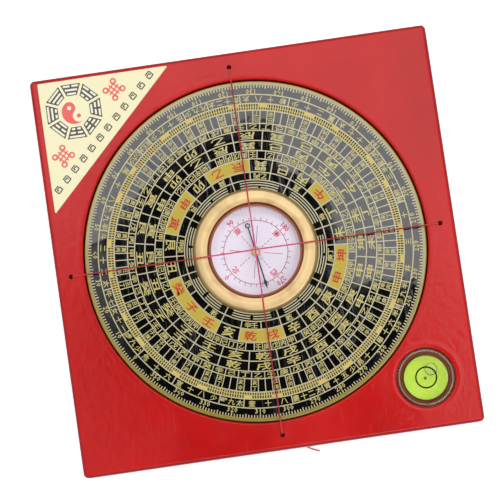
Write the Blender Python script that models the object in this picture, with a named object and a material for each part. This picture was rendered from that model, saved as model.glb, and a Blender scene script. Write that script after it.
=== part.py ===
"""Feng shui compass (luopan): a turning dial with a needle compass, set in a square board.

The board lies on its back: X is its width, Y its length towards the labelled edge, +Z up.
The origin is under the middle of the board, in the plane it rests on. Lengths are in metres.
"""
import math

import bmesh
import bpy
from mathutils import Matrix, Vector

# Clearances
SEAT_GAP = 0.0003
PRESS_GAP = 0.0001
CUT_OVERRUN = 0.001

# Dial, the turning disc
DIAL_RADIUS = 0.0515
DIAL_RUNNING_GAP = 0.0004
DIAL_SUNK = 0.0016
DISC_EDGE_INSET = 0.0002
DISC_EDGE_ROUND = 0.0005
HOUSING_LEDGE_WIDTH = 0.0032
PLATE_THICKNESS = 0.0008
PLATE_EDGE_ROUND = 0.00035

# Board; the shares are of its height
BOARD_HEIGHT = 0.015
PANEL_THICKNESS_SHARE = 0.173
HOUSING_LEDGE_SHARE = 0.133
HOUSING_FLOOR_SHARE = 0.1
BOARD_WALL = 0.00855
BOARD_CORNER_RADIUS = 0.0014
BOARD_TOP_ROUND = 0.0011
BOARD_FOOT_ROUND = 0.0004
OPENING_ROUND = 0.0006
PANEL_LEDGE = 0.0017
PANEL_CORNER_RADIUS = 0.001

# Threads, their holes and knots
THREAD_RADIUS = 0.00025
THREAD_HOLE_RADIUS = 0.00065
THREAD_HOLE_INSET = 0.0041
THREAD_BEND_RADIUS = 0.0007
KNOT_RADIUS = 0.00085
KNOT_HEIGHT = 0.0017
KNOT_POCKET_RADIUS = 0.0017
KNOT_POCKET_DEPTH = 0.0023
CROSSING_REACH = 0.012
TAIL_GROOVE_DEPTH = 0.001
TAIL_GROOVE_LEFT = 0.011
TAIL_GROOVE_RIGHT = 0.0088
TAIL_GROOVE_IN = 0.0011
TAIL_GROOVE_OUT = 0.003
TAIL_NOTCH_LEFT = 0.0031
TAIL_HEIGHT = 0.00045
TAIL_FLOOR_HEIGHT = 0.00027

# Route of the thread's tail from its knot, seen from above: chosen places, (x, y)
TAIL_ROUTE = (
    (-0.0012, -0.0561), (-0.0030, -0.0563), (-0.0060, -0.0563), (-0.0088, -0.0561),
    (-0.0099, -0.0565), (-0.0102, -0.0573), (-0.0097, -0.0581), (-0.0085, -0.0584),
    (-0.0060, -0.0584), (-0.0030, -0.0582), (0.0000, -0.0582), (0.0025, -0.0585),
    (0.0044, -0.0591), (0.0064, -0.0601), (0.0084, -0.0612), (0.0105, -0.0621),
)
TAIL_POINTS = 64

# Label in the corner
LABEL_LEG = 0.0399
LABEL_THICKNESS = 0.00025
LABEL_SIDE_INSET = 0.00235
LABEL_END_INSET = 0.00125

# Compass capsule in the middle of the dial
CARD_RADIUS = 0.0137
CARD_THICKNESS = 0.0004
CARD_HOLE_RADIUS = 0.0014
HOUSING_WALL = 0.0008
HOUSING_EDGE_ROUND = 0.0004
LENS_SHOULDER = 0.0006
LENS_THICKNESS = 0.001
LENS_EDGE_BEVEL = 0.0002
SEAL_HEIGHT = 0.0008
SEAL_WIDTH = 0.0005
BEZEL_HEIGHT = 0.0014
BEZEL_WIDTH = 0.00505
BEZEL_LIP_WIDTH = 0.0005
BEZEL_LIP_THICKNESS = 0.0003
BEZEL_OUTER_ROUND = 0.0011
BEZEL_INNER_ROUND = 0.0005

# Pivot and needle; the shares are of the free room under the lens, of the pin's height over
# the card's seat, and of the pin's stretch above its post
NEEDLE_RISE_SHARE = 0.6
POST_HEIGHT_SHARE = 0.54
PIN_POINT_SHARE = 0.5
POST_RADIUS = 0.0011
POST_FLOOR = 0.0003
PIN_RADIUS = 0.00025
JEWEL_RADIUS = 0.0005
JEWEL_HEIGHT = 0.00075
JEWEL_CUP_RADIUS = 0.00038
JEWEL_CUP_DEPTH = 0.0004
CAP_WALL = 0.00025
CAP_HEAD_RADIUS = 0.00145
CAP_HEAD_HEIGHT = 0.0009
CAP_HEAD_RIM = 0.00025
NEEDLE_THICKNESS = 0.00025
NEEDLE_HALF_WIDTH = 0.0002
NEEDLE_TIP_REACH = 0.0117
NEEDLE_HEAD_LENGTH = 0.0027
NEEDLE_HEAD_HALF_WIDTH = 0.0006
NEEDLE_HEAD_BACK_LENGTH = 0.0007
NEEDLE_EYE_WIDTH = 0.0004
NEEDLE_TAIL_REACH = 0.0082
NEEDLE_TAIL_RING_RADIUS = 0.00078
NEEDLE_TAIL_RING_WIDTH = 0.00034
NEEDLE_BEARING = math.radians(170.6)
DIAL_BEARING = math.radians(236.6)

# Bubble level in the board
LEVEL_RADIUS = 0.0085
LEVEL_POCKET_GAP = 0.00035
LEVEL_HEIGHT = 0.0092
LEVEL_STANDS_PROUD = 0.0002
LEVEL_WALL = 0.0019
LEVEL_CEILING = 0.0018
LEVEL_DOME_RISE = 0.0002
LEVEL_EDGE_ROUND = 0.0004
LEVEL_BASE_THICKNESS = 0.0016
LEVEL_SIDE_INSET = 0.0155
LEVEL_END_INSET = 0.01525
BUBBLE_RADIUS = 0.0019
BUBBLE_HEIGHT = 0.0014
BUBBLE_OFFSET = 0.003
BUBBLE_DIRECTION = math.radians(51.0)

# Fineness of the round shapes
DIAL_STEPS = 72
CAPSULE_STEPS = 48
LEVEL_STEPS = 36
SMALL_STEPS = 20
HOLE_STEPS = 12
ROUND_STEPS = 3
SHARP_ANGLE = math.radians(35)
MERGE_DISTANCE = 0.000001

# Places that follow from the sizes
PANEL_THICKNESS = BOARD_HEIGHT * PANEL_THICKNESS_SHARE
HOUSING_LEDGE_THICKNESS = BOARD_HEIGHT * HOUSING_LEDGE_SHARE
HOUSING_FLOOR = BOARD_HEIGHT * HOUSING_FLOOR_SHARE
OPENING_RADIUS = DIAL_RADIUS + DIAL_RUNNING_GAP
BOARD_HALF = OPENING_RADIUS + BOARD_WALL
REBATE_HALF = OPENING_RADIUS + PANEL_LEDGE
REBATE_DEPTH = PANEL_THICKNESS + SEAT_GAP
THREAD_HOLE_REACH = OPENING_RADIUS + THREAD_HOLE_INSET
DISC_BOTTOM = PANEL_THICKNESS + SEAT_GAP
PLATE_TOP = BOARD_HEIGHT - DIAL_SUNK
PLATE_BOTTOM = PLATE_TOP - PLATE_THICKNESS
DISC_TOP = PLATE_BOTTOM - SEAT_GAP
CHAMBER_RADIUS = CARD_RADIUS + SEAT_GAP
LENS_SEAT_RADIUS = CHAMBER_RADIUS + LENS_SHOULDER
LENS_RADIUS = LENS_SEAT_RADIUS - SEAT_GAP
HOUSING_RADIUS = LENS_SEAT_RADIUS + HOUSING_WALL
DISC_BORE_RADIUS = HOUSING_RADIUS + SEAT_GAP
FINGER_HOLE_RADIUS = DISC_BORE_RADIUS - HOUSING_LEDGE_WIDTH
HOUSING_BOTTOM = DISC_BOTTOM + HOUSING_LEDGE_THICKNESS + SEAT_GAP
CHAMBER_FLOOR = HOUSING_BOTTOM + HOUSING_FLOOR
LENS_BOTTOM = PLATE_TOP - LENS_THICKNESS
SEAL_BOTTOM = LENS_BOTTOM - SEAT_GAP - SEAL_HEIGHT
SHOULDER_HEIGHT = SEAL_BOTTOM - SEAT_GAP
CARD_BOTTOM = CHAMBER_FLOOR + SEAT_GAP
BEZEL_BOTTOM = PLATE_TOP + SEAT_GAP
BEZEL_TOP = BEZEL_BOTTOM + BEZEL_HEIGHT
NEEDLE_STACK = NEEDLE_THICKNESS + 2 * PRESS_GAP + CAP_HEAD_RIM + CAP_HEAD_HEIGHT
NEEDLE_FREE_ROOM = LENS_BOTTOM - CARD_BOTTOM - NEEDLE_STACK
JEWEL_BOTTOM = CARD_BOTTOM + NEEDLE_RISE_SHARE * NEEDLE_FREE_ROOM
JEWEL_TOP = JEWEL_BOTTOM + JEWEL_HEIGHT
PIN_TIP = JEWEL_BOTTOM + JEWEL_CUP_DEPTH - PRESS_GAP
POST_TOP = CARD_BOTTOM + POST_HEIGHT_SHARE * (PIN_TIP - CARD_BOTTOM)
POST_BORE_RADIUS = PIN_RADIUS + PRESS_GAP
PIN_POINT_LENGTH = PIN_POINT_SHARE * (PIN_TIP - POST_TOP)
CAP_BORE_RADIUS = JEWEL_RADIUS + PRESS_GAP
CAP_STEM_RADIUS = CAP_BORE_RADIUS + CAP_WALL
NEEDLE_EYE_RADIUS = CAP_STEM_RADIUS + PRESS_GAP
NEEDLE_BOTTOM = JEWEL_BOTTOM + PRESS_GAP
CAP_HEAD_BOTTOM = NEEDLE_BOTTOM + NEEDLE_THICKNESS + PRESS_GAP
CAP_BOTTOM = JEWEL_BOTTOM - PRESS_GAP
THREAD_HEIGHT = max(BOARD_HEIGHT, BEZEL_TOP) + SEAT_GAP + THREAD_RADIUS
CROSSING_HEIGHT = THREAD_HEIGHT + 2 * THREAD_RADIUS + SEAT_GAP
LEVEL_TOP = BOARD_HEIGHT + LEVEL_STANDS_PROUD
LEVEL_BOTTOM = LEVEL_TOP - LEVEL_HEIGHT
LEVEL_CHAMBER_RADIUS = LEVEL_RADIUS - LEVEL_WALL
LEVEL_CHAMBER_TOP = LEVEL_TOP - LEVEL_CEILING
LEVEL_PLACE = Vector((BOARD_HALF - LEVEL_SIDE_INSET, LEVEL_END_INSET - BOARD_HALF, 0))
BUBBLE_TOP = LEVEL_CHAMBER_TOP - SEAT_GAP
FLUID_BOTTOM = LEVEL_BOTTOM + LEVEL_BASE_THICKNESS + SEAT_GAP
FLUID_TOP = BUBBLE_TOP - BUBBLE_HEIGHT - SEAT_GAP

# Which way each thread hole lies from the middle, by the name of its knot
THREAD_SIDES = {
    "top": Vector((0, 1, 0)),
    "bottom": Vector((0, -1, 0)),
    "left": Vector((-1, 0, 0)),
    "right": Vector((1, 0, 0)),
}

# Finishes: colour, roughness, metallic value
FINISHES = {
    "red_lacquer": ((0.55, 0.008, 0.01), 0.22, 0.0),
    "back_lacquer": ((0.40, 0.01, 0.012), 0.45, 0.0),
    "label_card": ((0.96, 0.90, 0.60), 0.5, 0.0),
    "thread_red": ((0.75, 0.03, 0.16), 0.7, 0.0),
    "clear_acrylic": ((0.85, 0.87, 0.82), 0.05, 0.0),
    "level_green": ((0.45, 0.80, 0.12), 0.4, 0.0),
    "level_liquid": ((0.60, 0.90, 0.25), 0.05, 0.0),
    "air_bubble": ((0.95, 1.0, 0.85), 0.05, 0.0),
    "black_dial": ((0.012, 0.012, 0.014), 0.15, 0.0),
    "black_wood": ((0.02, 0.018, 0.016), 0.5, 0.0),
    "satin_brass": ((0.85, 0.62, 0.28), 0.3, 1.0),
    "compass_card": ((0.86, 0.84, 0.92), 0.5, 0.0),
    "glass": ((0.95, 0.97, 0.98), 0.02, 0.0),
    "seal_rubber": ((0.03, 0.03, 0.03), 0.7, 0.0),
    "dark_steel": ((0.06, 0.06, 0.07), 0.3, 1.0),
    "bright_steel": ((0.6, 0.6, 0.62), 0.2, 1.0),
    "jewel": ((0.7, 0.35, 0.2), 0.1, 0.0),
}


def clear_scene():
    """Remove every object that the file opened with."""
    for obj in list(bpy.data.objects):
        bpy.data.objects.remove(obj, do_unlink=True)


def finish(name):
    """The material of a finish, made once."""
    if name in bpy.data.materials and bpy.data.materials[name].use_nodes:
        return bpy.data.materials[name]
    colour, roughness, metallic = FINISHES[name]
    made = bpy.data.materials.new(name)
    made.use_nodes = True
    shader = made.node_tree.nodes["Principled BSDF"]
    shader.inputs["Base Color"].default_value = (*colour, 1.0)
    shader.inputs["Roughness"].default_value = roughness
    shader.inputs["Metallic"].default_value = metallic
    return made


def link(name, bm, look, parent=None, place=(0, 0, 0)):
    """A named object from a bmesh, shaded smooth but for its sharp edges."""
    bmesh.ops.recalc_face_normals(bm, faces=bm.faces)
    mesh = bpy.data.meshes.new(name)
    bm.to_mesh(mesh)
    bm.free()
    mesh.shade_smooth()
    mesh.set_sharp_from_angle(angle=SHARP_ANGLE)
    if look:
        mesh.materials.append(finish(look))
    obj = bpy.data.objects.new(name, mesh)
    obj.location = place
    obj.parent = parent
    bpy.context.collection.objects.link(obj)
    return obj


def axis_empty(name, place, turn=0.0, parent=None):
    """An empty on a joint's axis, turned about Z."""
    empty = bpy.data.objects.new(name, None)
    empty.location = place
    empty.rotation_euler = (0, 0, turn)
    empty.parent = parent
    bpy.context.collection.objects.link(empty)
    return empty


def turned_bmesh(profile, steps):
    """A body turned about Z from (radius, height) points; a profile that meets the axis stays open."""
    bm = bmesh.new()
    verts = [bm.verts.new((radius, 0, height)) for radius, height in profile]
    on_axis = profile[0][0] == 0 and profile[-1][0] == 0
    pairs = zip(verts, verts[1:] if on_axis else verts[1:] + verts[:1])
    edges = [bm.edges.new(pair) for pair in pairs]
    bmesh.ops.spin(bm, geom=verts + edges, cent=(0, 0, 0), axis=(0, 0, 1), dvec=(0, 0, 0),
                   angle=math.tau, steps=steps, use_merge=True)
    bmesh.ops.remove_doubles(bm, verts=bm.verts, dist=MERGE_DISTANCE)
    return bm


def prism_bmesh(outline, bottom, height):
    """A body extruded up from an outline of (x, y) points."""
    bm = bmesh.new()
    face = bm.faces.new([bm.verts.new((x, y, bottom)) for x, y in outline])
    grown = bmesh.ops.extrude_face_region(bm, geom=[face])
    raised = [item for item in grown["geom"] if isinstance(item, bmesh.types.BMVert)]
    bmesh.ops.translate(bm, verts=raised, vec=(0, 0, height))
    return bm


def quarter(centre_radius, centre_height, size, start, end, steps=ROUND_STEPS):
    """Points of a rounded edge in a profile, from one angle to another about its centre."""
    angles = [start + (end - start) * step / steps for step in range(steps + 1)]
    return [(centre_radius + size * math.cos(angle), centre_height + size * math.sin(angle))
            for angle in angles]


def rounded_square(half, corner, steps=ROUND_STEPS):
    """The outline of a square with round corners."""
    outline = []
    for turn in range(4):
        start = turn * math.pi / 2
        middle = Vector((half - corner, half - corner))
        middle.rotate(Matrix.Rotation(start, 2))
        for step in range(steps + 1):
            angle = start + step / steps * math.pi / 2
            outline.append((middle.x + corner * math.cos(angle),
                            middle.y + corner * math.sin(angle)))
    return outline


def cut(target, name, bm, place=(0, 0, 0)):
    """Cut a body out of an object."""
    cutter = link(name, bm, None, place=place)
    cutter.hide_render = True
    cutter.display_type = "WIRE"
    modifier = target.modifiers.new(name, "BOOLEAN")
    modifier.operation = "DIFFERENCE"
    modifier.object = cutter


def bevel_rim(bm, height, width, steps):
    """Round the edges of a prism that lie at one height."""
    rim = [edge for edge in bm.edges
           if all(abs(vert.co.z - height) < MERGE_DISTANCE for vert in edge.verts)]
    bmesh.ops.bevel(bm, geom=rim, offset=width, segments=steps, profile=0.5,
                    affect="EDGES", material=-1)


def flared_bore(radius, bottom, top, flare):
    """The profile of a cutter for a hole whose upper edge is rounded over."""
    lip = quarter(radius + flare, top - flare, flare, math.pi, math.pi / 2)
    above = top + CUT_OVERRUN
    return [(0, bottom), (radius, bottom), *lip, (radius + flare, above), (0, above)]


def frame_board():
    """The square board: round opening, rebate below, level pocket, thread holes, tail groove."""
    bm = prism_bmesh(rounded_square(BOARD_HALF, BOARD_CORNER_RADIUS), 0, BOARD_HEIGHT)
    bevel_rim(bm, BOARD_HEIGHT, BOARD_TOP_ROUND, ROUND_STEPS)
    bevel_rim(bm, 0, BOARD_FOOT_ROUND, 1)
    board = link("frame_board", bm, "red_lacquer")
    opening = flared_bore(OPENING_RADIUS, -CUT_OVERRUN, BOARD_HEIGHT, OPENING_ROUND)
    cut(board, "opening_cutter", turned_bmesh(opening, DIAL_STEPS))
    rebate = rounded_square(REBATE_HALF, PANEL_CORNER_RADIUS + SEAT_GAP)
    cut(board, "rebate_cutter", prism_bmesh(rebate, -CUT_OVERRUN, REBATE_DEPTH + CUT_OVERRUN))
    pocket = flared_bore(LEVEL_RADIUS + LEVEL_POCKET_GAP, LEVEL_BOTTOM - SEAT_GAP,
                         BOARD_HEIGHT, OPENING_ROUND)
    cut(board, "level_pocket_cutter", turned_bmesh(pocket, LEVEL_STEPS), LEVEL_PLACE)
    for side, direction in THREAD_SIDES.items():
        place = direction * THREAD_HOLE_REACH
        cut(board, f"thread_hole_cutter_{side}", thread_hole_bmesh(), place)
    cut(board, "tail_groove_cutter", tail_groove_bmesh())


def thread_hole_bmesh():
    """A thread hole's cutter, wider below for the knot."""
    above = BOARD_HEIGHT + CUT_OVERRUN
    profile = [(0, -CUT_OVERRUN), (KNOT_POCKET_RADIUS, -CUT_OVERRUN),
               (KNOT_POCKET_RADIUS, KNOT_POCKET_DEPTH), (THREAD_HOLE_RADIUS, KNOT_POCKET_DEPTH),
               (THREAD_HOLE_RADIUS, above), (0, above)]
    return turned_bmesh(profile, HOLE_STEPS)


def tail_groove_bmesh():
    """The cutter of the shallow groove below the board in which the thread's tail lies."""
    inner = TAIL_GROOVE_IN - THREAD_HOLE_REACH
    outer = -THREAD_HOLE_REACH - TAIL_GROOVE_OUT
    past_edge = -BOARD_HALF - CUT_OVERRUN
    outline = [(-TAIL_GROOVE_LEFT, inner), (-TAIL_GROOVE_LEFT, outer), (TAIL_NOTCH_LEFT, outer),
               (TAIL_NOTCH_LEFT, past_edge), (TAIL_GROOVE_RIGHT, past_edge),
               (TAIL_GROOVE_RIGHT, inner)]
    return prism_bmesh(outline, -CUT_OVERRUN, TAIL_GROOVE_DEPTH + CUT_OVERRUN)


def back_panel():
    """The square panel that closes the board below, with the hole for turning the dial."""
    half = REBATE_HALF - SEAT_GAP
    panel = link("back_panel", prism_bmesh(rounded_square(half, PANEL_CORNER_RADIUS), 0,
                                           PANEL_THICKNESS), "back_lacquer")
    above = PANEL_THICKNESS + CUT_OVERRUN
    bore = [(0, -CUT_OVERRUN), (FINGER_HOLE_RADIUS, -CUT_OVERRUN),
            (FINGER_HOLE_RADIUS, above), (0, above)]
    cut(panel, "finger_hole_cutter", turned_bmesh(bore, CAPSULE_STEPS))


def label():
    """The three-cornered card label in the board's upper left corner."""
    left = LABEL_SIDE_INSET - BOARD_HALF
    upper = BOARD_HALF - LABEL_END_INSET
    outline = [(left, upper), (left, upper - LABEL_LEG), (left + LABEL_LEG, upper)]
    link("label", prism_bmesh(outline, BOARD_HEIGHT + SEAT_GAP, LABEL_THICKNESS), "label_card")


def tube(name, points, look):
    """A round thread along a list of points, closed at its ends."""
    curve = bpy.data.curves.new(name, "CURVE")
    curve.dimensions = "3D"
    curve.bevel_depth = THREAD_RADIUS
    curve.bevel_resolution = 2
    curve.use_fill_caps = True
    spline = curve.splines.new("POLY")
    spline.points.add(len(points) - 1)
    for knot, point in zip(spline.points, points):
        knot.co = (*point, 1.0)
    curve.materials.append(finish(look))
    obj = bpy.data.objects.new(name, curve)
    bpy.context.collection.objects.link(obj)


def taut_thread(name, direction, crossing_height, half_points=14):
    """A thread drawn across the board, down through two holes to the knots below."""
    knot_top = KNOT_POCKET_DEPTH - SEAT_GAP
    bend = [(THREAD_HOLE_REACH - THREAD_BEND_RADIUS + THREAD_BEND_RADIUS * math.cos(angle),
             THREAD_HEIGHT - THREAD_BEND_RADIUS + THREAD_BEND_RADIUS * math.sin(angle))
            for angle in (0, math.pi / 6, math.pi / 3, math.pi / 2)]
    flat = []
    for step in range(1, half_points + 1):
        reach = bend[-1][0] * (1 - step / half_points)
        lift = math.exp(-(reach / CROSSING_REACH) ** 2)
        flat.append((reach, THREAD_HEIGHT + (crossing_height - THREAD_HEIGHT) * lift))
    half = [(THREAD_HOLE_REACH, knot_top), *bend, *flat]
    whole = half + [(-reach, height) for reach, height in reversed(half[:-1])]
    tube(name, [direction * reach + Vector((0, 0, height)) for reach, height in whole],
         "thread_red")


def smooth_route(points, count):
    """Evenly spaced points on a smooth curve through a list of points."""
    ends = [2 * points[0] - points[1], *points, 2 * points[-1] - points[-2]]
    fine = []
    for before, here, there, after in zip(ends, ends[1:], ends[2:], ends[3:]):
        for step in range(count):
            share = step / count
            fine.append(0.5 * (2 * here + (there - before) * share
                               + (2 * before - 5 * here + 4 * there - after) * share ** 2
                               + (3 * here - before - 3 * there + after) * share ** 3))
    fine.append(points[-1])
    along = [0.0]
    for here, there in zip(fine, fine[1:]):
        along.append(along[-1] + (there - here).length)
    even = []
    index = 0
    for step in range(count):
        wanted = along[-1] * step / (count - 1)
        while index < len(fine) - 2 and along[index + 1] < wanted:
            index += 1
        share = (wanted - along[index]) / (along[index + 1] - along[index])
        even.append(fine[index].lerp(fine[index + 1], share))
    return even


def thread_tail():
    """The thread's free tail, out from its knot, round in the groove and past the board's edge."""
    points = []
    for x, y in TAIL_ROUTE:
        outside = y < -BOARD_HALF
        points.append(Vector((x, y, TAIL_FLOOR_HEIGHT if outside else TAIL_HEIGHT)))
    tube("thread_tail", smooth_route(points, TAIL_POINTS), "thread_red")


def knot(side, direction):
    """The knot that holds a thread's end below the board."""
    bm = bmesh.new()
    bmesh.ops.create_uvsphere(bm, u_segments=HOLE_STEPS, v_segments=HOLE_STEPS // 2,
                              radius=KNOT_RADIUS)
    bmesh.ops.scale(bm, verts=bm.verts, vec=(1, 1, KNOT_HEIGHT / (2 * KNOT_RADIUS)))
    height = KNOT_POCKET_DEPTH - 2 * SEAT_GAP - KNOT_HEIGHT / 2
    place = direction * THREAD_HOLE_REACH + Vector((0, 0, height))
    link(f"knot_{side}", bm, "thread_red", place=place)


def dial_disc(axis):
    """The wooden disc that turns in the board, with a stepped bore for the compass."""
    outer = DIAL_RADIUS - DISC_EDGE_INSET
    ledge = DISC_BOTTOM + HOUSING_LEDGE_THICKNESS
    lower = quarter(outer - DISC_EDGE_ROUND, DISC_BOTTOM + DISC_EDGE_ROUND, DISC_EDGE_ROUND,
                    -math.pi / 2, 0, 2)
    profile = [(FINGER_HOLE_RADIUS, ledge), (FINGER_HOLE_RADIUS, DISC_BOTTOM), *lower,
               (outer, DISC_TOP), (DISC_BORE_RADIUS, DISC_TOP), (DISC_BORE_RADIUS, ledge)]
    link("dial_disc", turned_bmesh(profile, DIAL_STEPS), "black_wood", parent=axis)


def dial_plate(axis):
    """The printed plate on the disc."""
    rim = quarter(DIAL_RADIUS - PLATE_EDGE_ROUND, PLATE_TOP - PLATE_EDGE_ROUND,
                  PLATE_EDGE_ROUND, 0, math.pi / 2, 2)
    profile = [(DISC_BORE_RADIUS, PLATE_TOP), (DISC_BORE_RADIUS, PLATE_BOTTOM),
               (DIAL_RADIUS, PLATE_BOTTOM), *rim]
    link("dial_plate", turned_bmesh(profile, DIAL_STEPS), "black_dial", parent=axis)


def compass_housing(axis):
    """The brass cup of the compass, with a shoulder for the lens."""
    foot = quarter(HOUSING_RADIUS - HOUSING_EDGE_ROUND, HOUSING_BOTTOM + HOUSING_EDGE_ROUND,
                   HOUSING_EDGE_ROUND, -math.pi / 2, 0, 2)
    profile = [(0, HOUSING_BOTTOM), *foot, (HOUSING_RADIUS, PLATE_TOP),
               (LENS_SEAT_RADIUS, PLATE_TOP), (LENS_SEAT_RADIUS, SHOULDER_HEIGHT),
               (CHAMBER_RADIUS, SHOULDER_HEIGHT), (CHAMBER_RADIUS, CHAMBER_FLOOR),
               (0, CHAMBER_FLOOR)]
    link("compass_housing", turned_bmesh(profile, CAPSULE_STEPS), "satin_brass", parent=axis)


def ring(name, inner, outer, bottom, height, steps, look, parent=None):
    """A plain flat ring."""
    profile = [(inner, bottom), (outer, bottom), (outer, bottom + height),
               (inner, bottom + height)]
    link(name, turned_bmesh(profile, steps), look, parent=parent)


def lens(axis):
    """The glass over the needle, its edges bevelled."""
    edge = LENS_RADIUS - LENS_EDGE_BEVEL
    profile = [(0, LENS_BOTTOM), (edge, LENS_BOTTOM), (LENS_RADIUS, LENS_BOTTOM + LENS_EDGE_BEVEL),
               (LENS_RADIUS, PLATE_TOP - LENS_EDGE_BEVEL), (edge, PLATE_TOP), (0, PLATE_TOP)]
    link("lens", turned_bmesh(profile, CAPSULE_STEPS), "glass", parent=axis)


def bezel(axis):
    """The broad brass ring round the glass, with a thin lip over the lens."""
    outer = CARD_RADIUS + BEZEL_WIDTH
    inner = CARD_RADIUS + BEZEL_LIP_WIDTH
    lip_top = BEZEL_BOTTOM + BEZEL_LIP_THICKNESS
    shoulder = quarter(outer - BEZEL_OUTER_ROUND, BEZEL_TOP - BEZEL_OUTER_ROUND,
                       BEZEL_OUTER_ROUND, 0, math.pi / 2)
    mouth = quarter(inner + BEZEL_INNER_ROUND, BEZEL_TOP - BEZEL_INNER_ROUND,
                    BEZEL_INNER_ROUND, math.pi / 2, math.pi)
    profile = [(CARD_RADIUS, BEZEL_BOTTOM), (outer, BEZEL_BOTTOM), *shoulder, *mouth,
               (inner, lip_top), (CARD_RADIUS, lip_top)]
    link("bezel", turned_bmesh(profile, CAPSULE_STEPS), "satin_brass", parent=axis)


def pivot(axis):
    """The brass post on the housing's floor and the steel pin that the needle turns on."""
    bore_floor = CARD_BOTTOM + POST_FLOOR
    post = [(0, CARD_BOTTOM), (POST_RADIUS, CARD_BOTTOM), (POST_RADIUS, POST_TOP),
            (POST_BORE_RADIUS, POST_TOP), (POST_BORE_RADIUS, bore_floor), (0, bore_floor)]
    link("pivot_post", turned_bmesh(post, SMALL_STEPS), "satin_brass", parent=axis)
    pin_bottom = bore_floor + PRESS_GAP
    pin = [(0, pin_bottom), (PIN_RADIUS, pin_bottom), (PIN_RADIUS, PIN_TIP - PIN_POINT_LENGTH),
           (0, PIN_TIP)]
    link("pivot_pin", turned_bmesh(pin, HOLE_STEPS), "bright_steel", parent=axis)


def needle_cap(axis):
    """The brass cap in the needle's eye, with a domed head, and the jewel in its bore."""
    ceiling = JEWEL_TOP + PRESS_GAP
    dome_bottom = CAP_HEAD_BOTTOM + CAP_HEAD_RIM
    dome = []
    for step in range(1, ROUND_STEPS + 1):
        angle = step / (ROUND_STEPS + 1) * math.pi / 2
        dome.append((CAP_HEAD_RADIUS * math.cos(angle),
                     dome_bottom + CAP_HEAD_HEIGHT * math.sin(angle)))
    profile = [(0, ceiling), (CAP_BORE_RADIUS, ceiling), (CAP_BORE_RADIUS, CAP_BOTTOM),
               (CAP_STEM_RADIUS, CAP_BOTTOM), (CAP_STEM_RADIUS, CAP_HEAD_BOTTOM),
               (CAP_HEAD_RADIUS, CAP_HEAD_BOTTOM), (CAP_HEAD_RADIUS, dome_bottom), *dome,
               (0, dome_bottom + CAP_HEAD_HEIGHT)]
    link("needle_cap", turned_bmesh(profile, SMALL_STEPS), "satin_brass", parent=axis)
    cup = [(0, PIN_TIP + PRESS_GAP), (JEWEL_CUP_RADIUS, JEWEL_BOTTOM),
           (JEWEL_RADIUS, JEWEL_BOTTOM), (JEWEL_RADIUS, JEWEL_TOP), (0, JEWEL_TOP)]
    link("cap_jewel", turned_bmesh(cup, SMALL_STEPS), "jewel", parent=axis)


def needle_outline():
    """The needle's outline, tip towards +X: pointed head, thin shaft, round eye and tail ring."""
    half = NEEDLE_HALF_WIDTH
    eye = NEEDLE_EYE_RADIUS + NEEDLE_EYE_WIDTH
    ring_radius = NEEDLE_TAIL_RING_RADIUS
    head = NEEDLE_TIP_REACH - NEEDLE_HEAD_LENGTH
    widest = head + NEEDLE_HEAD_BACK_LENGTH
    eye_start = math.asin(half / eye)
    ring_start = math.asin(half / ring_radius)
    upper = [(NEEDLE_TIP_REACH, 0), (widest, NEEDLE_HEAD_HALF_WIDTH), (head, half)]
    for step in range(ROUND_STEPS * 2 + 1):
        angle = eye_start + (math.pi - 2 * eye_start) * step / (ROUND_STEPS * 2)
        upper.append((eye * math.cos(angle), eye * math.sin(angle)))
    for step in range(ROUND_STEPS * 2):
        angle = ring_start + (math.pi - ring_start) * step / (ROUND_STEPS * 2)
        upper.append((ring_radius * math.cos(angle) - NEEDLE_TAIL_REACH,
                      ring_radius * math.sin(angle)))
    end = (-NEEDLE_TAIL_REACH - ring_radius, 0)
    return [*upper, end, *[(x, -y) for x, y in reversed(upper[1:])]]


def needle(axis):
    """The thin steel needle."""
    made = link("needle", prism_bmesh(needle_outline(), NEEDLE_BOTTOM, NEEDLE_THICKNESS),
                "dark_steel", parent=axis)
    low = NEEDLE_BOTTOM - CUT_OVERRUN
    high = NEEDLE_BOTTOM + NEEDLE_THICKNESS + CUT_OVERRUN
    tail_hole = NEEDLE_TAIL_RING_RADIUS - NEEDLE_TAIL_RING_WIDTH
    for name, radius, reach in (("eye", NEEDLE_EYE_RADIUS, 0),
                                ("tail", tail_hole, -NEEDLE_TAIL_REACH)):
        bore = turned_bmesh([(0, low), (radius, low), (radius, high), (0, high)], SMALL_STEPS)
        place = Matrix.Rotation(math.pi / 2 - NEEDLE_BEARING, 3, "Z") @ Vector((reach, 0, 0))
        cut(made, f"needle_{name}_cutter", bore, place)


def level_body():
    """The clear vial of the bubble level, open below, its ceiling slightly domed."""
    crown = quarter(LEVEL_RADIUS - LEVEL_EDGE_ROUND, LEVEL_TOP - LEVEL_EDGE_ROUND,
                    LEVEL_EDGE_ROUND, 0, math.pi / 2, 2)
    dome = []
    for step in range(ROUND_STEPS):
        share = step / ROUND_STEPS
        dome.append((LEVEL_CHAMBER_RADIUS * share,
                     LEVEL_CHAMBER_TOP + LEVEL_DOME_RISE * (1 - share ** 2)))
    profile = [*dome, (LEVEL_CHAMBER_RADIUS, LEVEL_CHAMBER_TOP),
               (LEVEL_CHAMBER_RADIUS, LEVEL_BOTTOM), (LEVEL_RADIUS, LEVEL_BOTTOM), *crown,
               (0, LEVEL_TOP)]
    link("level_body", turned_bmesh(profile, LEVEL_STEPS), "clear_acrylic", place=LEVEL_PLACE)


def disc(name, radius, bottom, top, look, place):
    """A plain disc in the level."""
    profile = [(0, bottom), (radius, bottom), (radius, top), (0, top)]
    link(name, turned_bmesh(profile, LEVEL_STEPS), look, place=place)


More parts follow.
